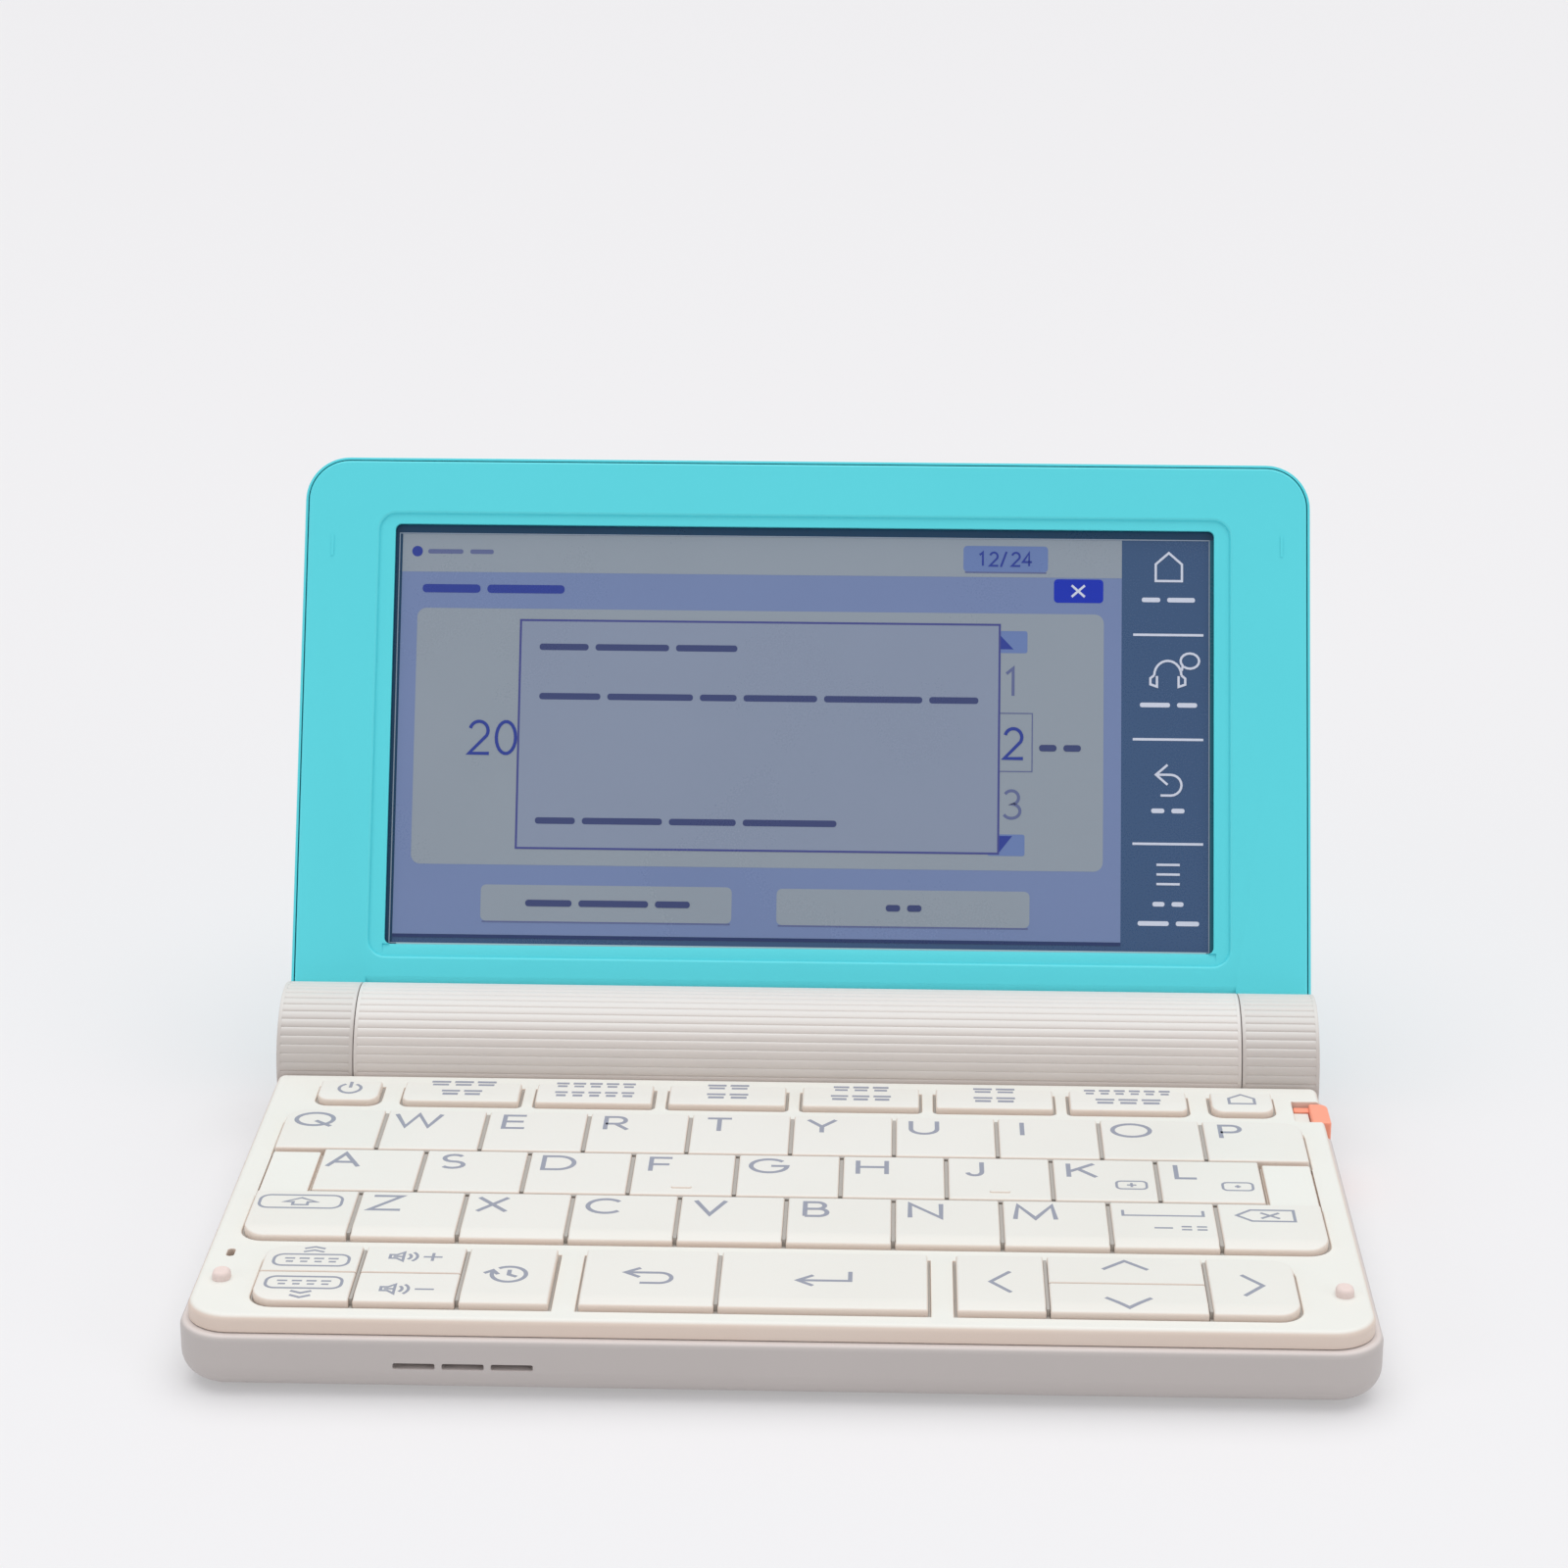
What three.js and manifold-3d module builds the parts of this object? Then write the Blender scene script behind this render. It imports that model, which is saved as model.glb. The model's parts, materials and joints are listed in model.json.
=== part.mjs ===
// Pocket electronic dictionary: a clamshell whose hinge is a ribbed barrel that holds the cells.
// Millimetres. X points right, Y points from the front edge to the hinge, Z points up.
// The origin is the centre of the flat underside of the base.

import * as THREE from 'three';
import { mergeVertices } from 'three/addons/utils/BufferGeometryUtils.js';
import Module from 'manifold-3d';

const wasm = await Module();
wasm.setup();

// Fits shared by all pieces
const seatGap = 0.3;
const cutOverrun = 1.0;

// Keyboard plan
const keyPitchY = 12.0;
const keyGap = 0.45;
const keysAcross = 10;
const sideMargin = 3.65;
const frontMargin = 3.05;
const bottomRowDepth = 14.0;
const bottomRowSpace = 2.8;
const functionRowSpace = 3.1;
const functionRowDepth = 5.9;
const rearMargin = 3.95;

// Key caps
const keyHeight = 0.9;
const keyTravel = 0.8;
const keyEdgeBevel = 0.25;
const keyCornerRadius = 2.5;
const functionCornerRadius = 1.5;
const stemSize = 3.2;
const capInDeck = 0.8;
const capOverlap = 0.4;
const rockerGroove = 0.5;
const homeBarWidth = 2.4;
const homeBarDepth = 0.5;
const homeBarHeight = 0.2;
const homeBarFromFront = 2.0;

// Bottom row cell widths and the ribs between its groups, as shares of the key pitch
const bottomRowInsetShare = 0.3;
const bottomRowShares = [
  ['key_heading', 0.91, 'rocker'], ['key_volume', 0.94, 'rocker'], ['key_history', 0.83],
  ['rib', 0.23],
  ['key_back', 1.23], ['key_enter', 1.89],
  ['rib', 0.22],
  ['key_left', 0.82], ['key_up_down', 1.43, 'rocker'], ['key_right', 0.81],
];

// Function row places and widths, as shares of the key pitch
const categoryPitchShare = 1.33;
const categoryWidthShare = 1.2;
const powerCentreShare = 4.454;
const powerWidthShare = 0.647;
const categoryKeys = 6;

// Base case
const caseFloor = 1.2;
const caseWall = 1.2;
const caseCornerRadius = 5.6;
const caseEdgeRadius = 3.0;
const footLength = 10.0;
const footDepth = 2.5;
const footInset = 5.0;
const footProud = 0.3;
const postRadius = 2.0;
const slotCount = 3;
const slotLength = 4.6;
const slotSpacing = 0.75;
const slotHeight = 0.55;
const slotRise = 2.2;
const slotStart = 23.2;

// Keyboard deck
const deckThickness = 1.2;
const deckShoulder = 0.5;
const deckSkirt = 0.6;
const deckEdgeRadius = 0.5;
const deckRearRadius = 1.0;
const tongueThickness = 0.8;
const tongueDepth = 1.3;
const bumperLength = 2.2;
const bumperWidth = 1.6;
const bumperHeight = 1.0;
const bumperInset = 3.0;
const bumperFromFront = 10.0;
const micLength = 1.3;
const micWidth = 0.8;
const micInset = 2.6;
const micFromBumper = 6.6;

// Boards and mat
const boardThickness = 0.9;
const boardInset = 3.0;
const matThickness = 1.0;
const matInset = 1.4;
const processorSize = 14.0;
const memoryLength = 12.0;
const memoryWidth = 8.0;
const chipThickness = 1.1;

// Speaker
const speakerDepth = 8.0;
const speakerMargin = 1.5;

// Stylus
const penThickness = 2.8;
const penWidth = 8.0;
const penLength = 92.0;
const penTipLength = 6.0;
const penTipWidth = 2.0;
const penCapLength = 4.1;
const penCapFront = 1.15;
const penCapRear = 1.15;
const penCapHeight = 5.7;
const penTabDepth = 5.6;
const penTabRise = 1.3;
const penFromRear = 9.5;
const penSideInset = 0.1;
const laneRib = 0.8;
const laneRibHeight = 2.2;

// Cells and barrel
const cellRadius = 7.25;
const cellLength = 49.5;
const cellNoseRadius = 2.75;
const cellNoseLength = 1.0;
const cellGap = 0.35;
const barrelWall = 1.1;
const barrelDrop = 0.4;
const contactSpace = 1.3;
const endBlockLength = 3.8;
const ribCount = 48;
const ribDepth = 0.25;
const ribGrooveShare = 0.22;
const knuckleLength = 9.5;
const knuckleInset = 0.1;
const rearFootDepth = 6.0;

// Hinge pin and trunnion
const pinRadius = 2.0;
const pinIntoBlock = 3.2;
const pinEndWall = 1.9;
const trunnionRadius = 3.0;
const trunnionLength = 2.6;
const cableRadius = 1.6;

// Lid
const openingAngle = 115.3;
const closedGap = 0.5;
const lidFrontInset = 0.1;
const lidWall = 1.2;
const lidCornerRadius = 5.7;
const lidEdgeRadius = 2.5;
const lidBarrelGap = 0.6;
const lidHeel = 7.0;
const bezelThickness = 1.0;
const bezelShoulder = 0.45;
const bezelSide = 12.4;
const bezelTop = 8.9;
const bezelBottom = 13.9;
const windowRadius = 0.8;
const dishDepth = 0.3;
const dishSide = 2.0;
const dishTop = 1.3;
const dishBottom = 1.6;
const dishRadius = 2.2;
const glassOverlap = 1.4;
const glassThickness = 1.1;
const displayThickness = 2.0;
const displayInset = 1.0;
const armInset = 1.5;
const armEnd = 2.7;
const armReach = 22.0;
const armThickness = 2.9;

// Angles round the barrel, in degrees from the front, rising over the top to the back
const fullTurn = 360;
const coverStart = -18;
const coverEnd = 150;
const hatchStart = 152;
const hatchEnd = 300;
const troughStart = -58;
const troughEnd = -20;

// Facets of round stretches
const cornerSteps = 4;
const pinSides = 16;
const postSides = 8;
const cellSides = 28;
const borePoints = 56;

// Heights that follow from the stack of pieces in the base
const boardBottom = caseFloor + seatGap + penThickness + seatGap;
const boardTop = boardBottom + boardThickness;
const matBottom = boardTop + seatGap;
const matTop = matBottom + matThickness;
const capBottom = matTop + seatGap + keyTravel;
const stemBottom = boardTop + seatGap + keyTravel;
const plateBottom = capBottom - capOverlap;
const deckTop = plateBottom + deckThickness;
const capTop = capBottom + capInDeck + keyHeight;
const skirtBottom = plateBottom - deckSkirt;
const caseRim = skirtBottom - seatGap;

// Barrel
const bayRadius = cellRadius + cellGap;
const barrelRadius = bayRadius + barrelWall;
const knuckleClearRadius = barrelRadius + seatGap;
const rearWallRadius = knuckleClearRadius + caseWall;
const axisHeight = barrelRadius - barrelDrop;
const footBottom = -(barrelDrop + footProud);

// Lengths along the barrel, which set the width of the base and the lid
const cellsHalf = cellLength + cellNoseLength;
const hatchHalf = cellsHalf + contactSpace;
const barrelHalf = hatchHalf + endBlockLength;
const knuckleInner = barrelHalf + seatGap;
const knuckleOuter = knuckleInner + knuckleLength;
const halfWidth = knuckleOuter + knuckleInset;

// Plan of the base: the keys fill its width, and the barrel is tangent to the deck's rear edge
const letterRows = 3;
const keyboardWidth = 2 * (halfWidth - sideMargin);
const keyPitchX = keyboardWidth / keysAcross;
const keyboardDepth = frontMargin + bottomRowDepth + bottomRowSpace + letterRows * keyPitchY
  + functionRowSpace + functionRowDepth + rearMargin;
const totalDepth = keyboardDepth + seatGap + 2 * barrelRadius;
const frontY = -totalDepth / 2;
const axisY = totalDepth / 2 - barrelRadius;
const deckFront = frontY + deckShoulder;
const deckHalfWidth = halfWidth - deckShoulder;
const deckRear = axisY - knuckleClearRadius;
const bottomRowFront = frontY + frontMargin;
const letterFront = bottomRowFront + bottomRowDepth + bottomRowSpace;
const letterRear = letterFront + letterRows * keyPitchY;
const functionFront = letterRear + functionRowSpace;

// Lid, in its own frame: the hinge axis is at zero, the free edge at -lidReach, the closed lid lies flat
const faceRise = capTop + closedGap - axisHeight;
const lidOuter = barrelRadius;
const lidReach = axisY - frontY - lidFrontInset;
const bezelBack = faceRise + bezelThickness;
const lidRim = bezelBack + seatGap;
const lidFloor = lidOuter - lidWall;
const lidClearRadius = barrelRadius + lidBarrelGap;
const windowHalf = halfWidth - bezelSide;
const windowTop = lidReach - bezelTop;

// Stylus place
const penY = deckRear - penFromRear;
const penBottom = caseFloor + seatGap;
const penRight = halfWidth - penSideInset;
const penCapLeft = penRight - penCapLength;
const penCapFrontY = penY - penWidth / 2 - penCapFront;
const penCapRearY = penY + penWidth / 2 + penCapRear;

// Colours and finishes
const finish = (color, roughness = 0.5, metalness = 0) =>
  new THREE.MeshStandardMaterial({ color, roughness, metalness });
const casePlastic = finish('#b8aeac', 0.5);
const deckPlastic = finish('#ece9e2', 0.55);
const keyPlastic = finish('#efece4', 0.55);
const barrelPlastic = finish('#dcd5cf', 0.55);
const lidPlastic = finish('#56d1de', 0.4);
const penPlastic = finish('#ffa88f', 0.45);
const glassBlack = finish('#2b3550', 0.15);
const rubberGrey = finish('#d9d9dc', 0.8);
const boardGreen = finish('#2f7d4f', 0.5);
const cellJacket = finish('#9aa0a6', 0.35, 0.6);
const steel = finish('#b9bcc0', 0.3, 1);
const speakerBlack = finish('#26262a', 0.6);

// A closed geometry becomes a solid that can be joined and cut
function toSolid(geometry) {
  geometry.deleteAttribute('normal');
  geometry.deleteAttribute('uv');
  const merged = mergeVertices(geometry);
  return new wasm.Manifold(new wasm.Mesh({
    numProp: 3,
    vertProperties: new Float32Array(merged.attributes.position.array),
    triVerts: new Uint32Array(merged.index.array),
  }));
}

function toGeometry(solid) {
  const { vertProperties, triVerts } = solid.getMesh();
  const geometry = new THREE.BufferGeometry();
  geometry.setAttribute('position', new THREE.BufferAttribute(vertProperties, 3));
  geometry.setIndex(new THREE.BufferAttribute(triVerts, 1));
  geometry.computeVertexNormals();
  return geometry;
}

function box(x0, x1, y0, y1, z0, z1) {
  const geometry = new THREE.BoxGeometry(x1 - x0, y1 - y0, z1 - z0);
  geometry.translate((x0 + x1) / 2, (y0 + y1) / 2, (z0 + z1) / 2);
  return toSolid(geometry);
}

// Arc points round (cx, cy) from one angle to another, in radians
function arcPoints(cx, cy, radius, from, to, steps) {
  return Array.from({ length: steps + 1 }, (_, i) => {
    const angle = from + (to - from) * i / steps;
    return new THREE.Vector2(cx + radius * Math.cos(angle), cy + radius * Math.sin(angle));
  });
}

// Rectangle whose corners are given in the order front left, front right, rear right, rear left
function roundedRect(x0, x1, y0, y1, radii, steps = cornerSteps) {
  const [fl, fr, rr, rl] = radii;
  const quarter = Math.PI / 2;
  const corner = (x, y, radius, turn) => (radius > 0
    ? arcPoints(x + (turn % 3 === 0 ? radius : -radius), y + (turn < 2 ? radius : -radius),
      radius, Math.PI + turn * quarter, Math.PI + (turn + 1) * quarter, steps)
    : [new THREE.Vector2(x, y)]);
  return new THREE.Shape([
    ...corner(x0, y0, fl, 0), ...corner(x1, y0, fr, 1), ...corner(x1, y1, rr, 2), ...corner(x0, y1, rl, 3),
  ]);
}

// Upright prism of a plan outline, with both rims rounded inwards when an edge is given
function slab(shape, z0, z1, edge = 0, edgeSteps = 1) {
  const geometry = new THREE.ExtrudeGeometry(shape, {
    depth: z1 - z0 - 2 * edge,
    steps: 1,
    bevelEnabled: edge > 0,
    bevelThickness: edge,
    bevelSize: edge,
    bevelOffset: -edge,
    bevelSegments: edgeSteps,
  });
  geometry.translate(0, 0, z0 + edge);
  return toSolid(geometry);
}

// Prism along X of a profile drawn in Y and Z
function beam(points, x0, x1) {
  const run = { depth: x1 - x0, steps: 1, bevelEnabled: false };
  const geometry = new THREE.ExtrudeGeometry(new THREE.Shape(points), run);
  geometry.applyMatrix4(new THREE.Matrix4().makeBasis(
    new THREE.Vector3(0, 1, 0), new THREE.Vector3(0, 0, 1), new THREE.Vector3(1, 0, 0)));
  geometry.translate(x0, 0, 0);
  return toSolid(geometry);
}

function rod(y, z, radius, x0, x1, sides) {
  return beam(arcPoints(y, z, radius, 0, 2 * Math.PI, sides).slice(0, sides), x0, x1);
}

// Point on a circle round the hinge axis, at an angle in degrees from the front
function onBarrel(radius, degrees, y = axisY, z = axisHeight) {
  const angle = THREE.MathUtils.degToRad(degrees);
  return new THREE.Vector2(y - radius * Math.cos(angle), z + radius * Math.sin(angle));
}

function barrelArc(radius, from, to, y, z) {
  const steps = Math.max(2, Math.round(borePoints * Math.abs(to - from) / fullTurn));
  return Array.from({ length: steps + 1 }, (_, i) => onBarrel(radius, from + (to - from) * i / steps, y, z));
}

// Outer arc with fine ribs, each parted from the next by a narrow groove
function ribbedArc(from, to, y, z) {
  const pitch = fullTurn / ribCount;
  const points = [onBarrel(barrelRadius, from, y, z)];
  for (let i = Math.floor(from / pitch); i * pitch < to; i += 1) {
    const low = barrelRadius - ribDepth;
    const marks = [[-ribGrooveShare, barrelRadius], [0, low], [ribGrooveShare, barrelRadius]];
    for (const [share, radius] of marks) {
      const at = (i + share) * pitch;
      if (at > from && at < to) points.push(onBarrel(radius, at, y, z));
    }
  }
  points.push(onBarrel(barrelRadius, to, y, z));
  return points;
}

function ribbedShell(from, to, x0, x1) {
  const outline = [...ribbedArc(from, to), ...barrelArc(bayRadius, to, from)];
  return beam(outline.reverse(), x0, x1);
}

const bothSides = (make) => make(-1).add(make(1));
const ordered = (a, b) => (a < b ? [a, b] : [b, a]);

// Keys

const half = (value) => value / 2;
const innerGap = keyGap / 2;
const windowGap = seatGap - innerGap;

function keyRow() {
  const keys = [];
  const letters = [
    ['key_', 'qwertyuiop', letterRear - keyPitchY],
    ['key_', 'asdfghjkl', letterRear - 2 * keyPitchY],
  ];
  for (const [prefix, text, front] of letters) {
    [...text].forEach((letter, i) => {
      const left = (i - half(text.length)) * keyPitchX;
      keys.push({ name: prefix + letter, left, right: left + keyPitchX, front, rear: front + keyPitchY });
    });
  }
  const lowest = ['shift', ...'zxcvbnm', 'space', 'delete'];
  lowest.forEach((label, i) => {
    const left = (i - half(lowest.length)) * keyPitchX;
    const rear = letterFront + keyPitchY;
    keys.push({ name: `key_${label}`, left, right: left + keyPitchX, front: letterFront, rear });
  });
  return keys;
}

function bottomKeys() {
  const groups = [[]];
  let left = -half(keyboardWidth) + bottomRowInsetShare * keyPitchX;
  for (const [name, share, kind] of bottomRowShares) {
    const right = left + share * keyPitchX;
    if (name === 'rib') groups.push([]);
    else {
      const key = { name, left, right, front: bottomRowFront, rear: bottomRowFront + bottomRowDepth };
      groups.at(-1).push({ ...key, rocker: kind === 'rocker' });
    }
    left = right;
  }
  return groups;
}

function functionKeys() {
  const centred = (name, centre, width) => ({
    name,
    left: centre - half(width),
    right: centre + half(width),
    front: functionFront,
    rear: functionFront + functionRowDepth,
    radii: [functionCornerRadius, functionCornerRadius, 0, 0],
  });
  const keys = Array.from({ length: categoryKeys }, (_, i) => centred(`key_category_${i + 1}`,
    (i - half(categoryKeys - 1)) * categoryPitchShare * keyPitchX, categoryWidthShare * keyPitchX));
  return [
    centred('key_power', -powerCentreShare * keyPitchX, powerWidthShare * keyPitchX),
    ...keys,
    centred('key_home', powerCentreShare * keyPitchX, powerWidthShare * keyPitchX),
  ];
}

const blockCorners = {
  key_q: [0, 0, 0, keyCornerRadius],
  key_p: [0, 0, keyCornerRadius, 0],
  key_shift: [keyCornerRadius, 0, 0, 0],
  key_delete: [0, keyCornerRadius, 0, 0],
  key_heading: [keyCornerRadius, 0, 0, keyCornerRadius],
  key_right: [0, keyCornerRadius, keyCornerRadius, 0],
};

const letterKeys = keyRow();
const bottomGroups = bottomKeys();
const topKeys = functionKeys();
const allKeys = [...topKeys, ...letterKeys, ...bottomGroups.flat()];

function keyOutline(key, grow) {
  const corners = key.radii ?? blockCorners[key.name] ?? [0, 0, 0, 0];
  const radii = corners.map((r) => (r > 0 ? r + grow + innerGap : 0));
  return roundedRect(key.left - grow, key.right + grow, key.front - grow, key.rear + grow, radii, 3);
}

function keyCap(key) {
  const x = half(key.left + key.right);
  const y = half(key.front + key.rear);
  let cap = slab(keyOutline(key, -innerGap), capBottom, capTop, keyEdgeBevel);
  const stem = half(stemSize);
  cap = cap.add(box(x - stem, x + stem, y - stem, y + stem, stemBottom, capBottom + keyEdgeBevel));
  if (key.rocker) {
    const groove = [
      new THREE.Vector2(y - rockerGroove, capTop + keyEdgeBevel),
      new THREE.Vector2(y, capTop - rockerGroove),
      new THREE.Vector2(y + rockerGroove, capTop + keyEdgeBevel),
    ];
    cap = cap.subtract(beam(groove, key.left - cutOverrun, key.right + cutOverrun));
  }
  if (key.name === 'key_f' || key.name === 'key_j') {
    const barY = key.front + homeBarFromFront;
    cap = cap.add(box(x - half(homeBarWidth), x + half(homeBarWidth),
      barY, barY + homeBarDepth, capTop - keyEdgeBevel, capTop + homeBarHeight));
  }
  return cap;
}

// Base

const caseCorners = [caseCornerRadius, caseCornerRadius, 0, 0];

function caseEnvelope(inset, z0, z1, edge) {
  const radii = caseCorners.map((r) => (r > 0 ? r - inset : 0));
  const plan = roundedRect(-halfWidth + inset, halfWidth - inset, frontY + inset, axisY, radii);
  return slab(plan, z0, z1, edge, 3);
}

function baseCase() {
  const tall = deckTop + 2 * caseEdgeRadius;
  const under = (top) => box(-halfWidth - cutOverrun, halfWidth + cutOverrun,
    frontY - cutOverrun, axisY + cutOverrun, -cutOverrun, top);
  let shell = caseEnvelope(0, 0, tall, caseEdgeRadius).intersect(under(caseRim));
  const cavity = caseEnvelope(caseWall, caseFloor, tall, caseEdgeRadius - caseWall)
    .subtract(rod(axisY, axisHeight, rearWallRadius, -halfWidth, halfWidth, borePoints));
  const endRun = halfWidth + cutOverrun;
  shell = shell.subtract(cavity)
    .subtract(rod(axisY, axisHeight, knuckleClearRadius, -endRun, endRun, borePoints));

  // Trough that carries the barrel, and a block at each of its ends
  const trough = [
    ...barrelArc(rearWallRadius - half(caseWall), troughStart, troughEnd),
    ...barrelArc(bayRadius, troughEnd, troughStart),
  ].reverse();
  shell = shell.add(beam(trough, -barrelHalf, barrelHalf));
  const block = [...ribbedArc(hatchStart, fullTurn + troughEnd),
    ...barrelArc(bayRadius - seatGap, fullTurn + troughEnd, fullTurn + hatchStart)].reverse();
  shell = shell.add(bothSides((side) => beam(block, ...ordered(side * hatchHalf, side * barrelHalf))));
  const bore = (radius, x0, x1) => rod(axisY, axisHeight, radius + seatGap, x0, x1, pinSides);
  shell = shell.subtract(bore(pinRadius, -barrelHalf - cutOverrun, -hatchHalf + cutOverrun));
  shell = shell.subtract(bore(trunnionRadius, hatchHalf - cutOverrun, barrelHalf + cutOverrun));

  // Feet: two at the front, and one under each end block
  shell = shell.add(bothSides((side) => {
    const outer = side * (halfWidth - caseCornerRadius - footInset);
    const frontFoot = frontY + caseEdgeRadius + footInset;
    const [x0, x1] = ordered(outer, outer - side * footLength);
    return box(x0, x1, frontFoot, frontFoot + footDepth, footBottom, half(caseFloor));
  }));
  shell = shell.add(bothSides((side) => box(...ordered(side * hatchHalf, side * barrelHalf),
    axisY - half(rearFootDepth), axisY + half(rearFootDepth), footBottom, axisHeight - bayRadius)));

  // Sound slots in front of the speaker
  for (let i = 0; i < slotCount; i += 1) {
    const left = -halfWidth + slotStart + i * (slotLength + slotSpacing);
    const low = caseFloor + slotRise;
    shell = shell.subtract(box(left, left + slotLength, frontY - cutOverrun, frontY + caseWall + cutOverrun,
      low - half(slotHeight), low + half(slotHeight)));
  }

  // Posts that carry the circuit board
  for (const [x, y] of postPlaces) {
    const ring = arcPoints(x, y, postRadius, 0, 2 * Math.PI, postSides).slice(0, postSides);
    shell = shell.add(slab(new THREE.Shape(ring), half(caseFloor), boardBottom - seatGap));
  }

  // Lane of the stylus, and the way out through the right wall
  const laneHalf = half(penWidth) + seatGap;
  const laneTop = caseFloor + laneRibHeight;
  for (const y of [penY - laneHalf - laneRib, penY + laneHalf]) {
    const rib = [penRight - penLength, penCapLeft - seatGap, y, y + laneRib];
    shell = shell.add(box(...rib, half(caseFloor), laneTop));
  }
  return shell.subtract(penWay(caseFloor, deckTop));
}

// Space that the stylus cap needs in the side of the case
function penWay(z0, z1) {
  const right = halfWidth + cutOverrun;
  return box(penCapLeft - seatGap, right, penCapFrontY - seatGap, penCapRearY + seatGap, z0, z1);
}

const postX = halfWidth - 2 * caseCornerRadius;
const postFront = bottomRowFront + keyPitchY / 2;
const postRear = letterRear - keyPitchY;
const postPlaces = [[-postX, postFront + keyPitchY], [0, postFront], [postX, postFront],
  [-postX, postRear], [0, postRear], [postX, postRear]];

function keyboardDeck() {
  const outline = (inset) => roundedRect(-deckHalfWidth + inset, deckHalfWidth - inset, deckFront + inset,
    deckRear - inset, [caseCornerRadius - deckShoulder - inset, caseCornerRadius - deckShoulder - inset,
      Math.max(deckRearRadius - inset, 0), Math.max(deckRearRadius - inset, 0)]);
  const deep = skirtBottom - 2 * deckEdgeRadius;
  let deck = slab(outline(0), deep, deckTop, deckEdgeRadius, 2)
    .subtract(box(-halfWidth, halfWidth, frontY, axisY, deep - cutOverrun, skirtBottom))
    .subtract(slab(outline(caseWall), skirtBottom - cutOverrun, plateBottom));

  // Tongue that locates the deck inside the case wall
  const tongueInset = caseWall + seatGap - deckShoulder;
  const tongueLow = plateBottom - tongueDepth - deckSkirt;
  const tongue = slab(outline(tongueInset), tongueLow, plateBottom + half(deckThickness))
    .subtract(slab(outline(tongueInset + tongueThickness), tongueLow - cutOverrun, plateBottom))
    .subtract(box(-halfWidth, halfWidth, deckRear - 2 * caseWall, axisY, tongueLow - cutOverrun, plateBottom));
  deck = deck.add(tongue);

  // Windows: one for the letter block, one for each bottom group and each function key
  const low = plateBottom - cutOverrun;
  const high = deckTop + cutOverrun;
  const windowOver = (keys) => {
    const first = keys[0];
    const last = keys.at(-1);
    const [fl, , , rl] = blockCorners[first.name] ?? [0, 0, 0, 0];
    const [, fr, rr] = blockCorners[last.name] ?? [0, 0, 0, 0];
    const radii = [fl, fr, rr, rl].map((r) => (r > 0 ? r + seatGap : 0));
    return slab(roundedRect(first.left - windowGap, last.right + windowGap, first.front - windowGap,
      first.rear + windowGap, radii, 3), low, high);
  };
  const rowOf = (names) => letterKeys.filter((key) => names.includes(key.name));
  deck = deck
    .subtract(windowOver(rowOf(['key_q', 'key_p'])))
    .subtract(windowOver(rowOf(['key_a', 'key_l'])))
    .subtract(windowOver(rowOf(['key_shift', 'key_delete'])));
  for (const group of bottomGroups) deck = deck.subtract(windowOver(group));
  for (const key of topKeys) deck = deck.subtract(slab(keyOutline(key, windowGap), low, high));

  // Bumper pins for the closed lid, the microphone hole and the cut-out over the stylus
  const bumperY = frontY + bumperFromFront;
  deck = deck.add(bothSides((side) => {
    const x = side * (deckHalfWidth - bumperInset);
    const pin = roundedRect(x - half(bumperWidth), x + half(bumperWidth), bumperY - half(bumperLength),
      bumperY + half(bumperLength), Array(4).fill(half(bumperWidth)), 2);
    return slab(pin, deckTop - half(deckThickness), deckTop + bumperHeight);
  }));
  const micX = -deckHalfWidth + micInset;
  const micY = bumperY + micFromBumper;
  const mic = roundedRect(micX - half(micWidth), micX + half(micWidth), micY - half(micLength),
    micY + half(micLength), Array(4).fill(0));
  deck = deck.subtract(slab(mic, low, high));
  deck = deck.subtract(penWay(tongueLow - cutOverrun, plateBottom));
  const tabRear = penCapRearY - half(penCapRear) + seatGap;
  const tabFront = tabRear - penTabDepth - 2 * seatGap;
  return deck.subtract(box(penCapLeft - seatGap, halfWidth, tabFront, tabRear, low, high));
}

function stylus() {
  const left = penRight - penLength;
  const wide = half(penWidth);
  const narrow = half(penTipWidth);
  const outline = [[left, -narrow], [left + penTipLength, -wide], [penCapLeft + cutOverrun, -wide],
    [penCapLeft + cutOverrun, wide], [left + penTipLength, wide], [left, narrow]];
  const shaft = slab(new THREE.Shape(outline.map(([x, y]) => new THREE.Vector2(x, penY + y))),
    penBottom, penBottom + penThickness);
  const capTopZ = penBottom + penCapHeight;
  const tabRear = penCapRearY - half(penCapRear);
  const cap = box(penCapLeft, penRight, penCapFrontY, penCapRearY, penBottom, capTopZ)
    .intersect(caseEnvelope(penSideInset, 0, deckTop + 2 * caseEdgeRadius, caseEdgeRadius - penSideInset));
  const tab = box(penCapLeft, deckHalfWidth, tabRear - penTabDepth, tabRear,
    capTopZ - cutOverrun, capTopZ + penTabRise);
  return shaft.add(cap).add(tab);
}

function circuitBoard() {
  const edge = halfWidth - boardInset;
  const rear = axisY - rearWallRadius - seatGap;
  let board = box(-edge, edge, frontY + boardInset, rear, boardBottom, boardTop);
  const chipTop = boardBottom + half(boardThickness);
  const chipY = half(postFront + postRear);
  board = board
    .add(box(-processorSize - cutOverrun, -cutOverrun, chipY - half(processorSize), chipY + half(processorSize),
      boardBottom - chipThickness, chipTop))
    .add(box(memoryWidth, memoryWidth + memoryLength, chipY - half(memoryWidth), chipY + half(memoryWidth),
      boardBottom - chipThickness, chipTop));
  return board.subtract(penWay(boardBottom - cutOverrun, boardTop + cutOverrun));
}

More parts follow.
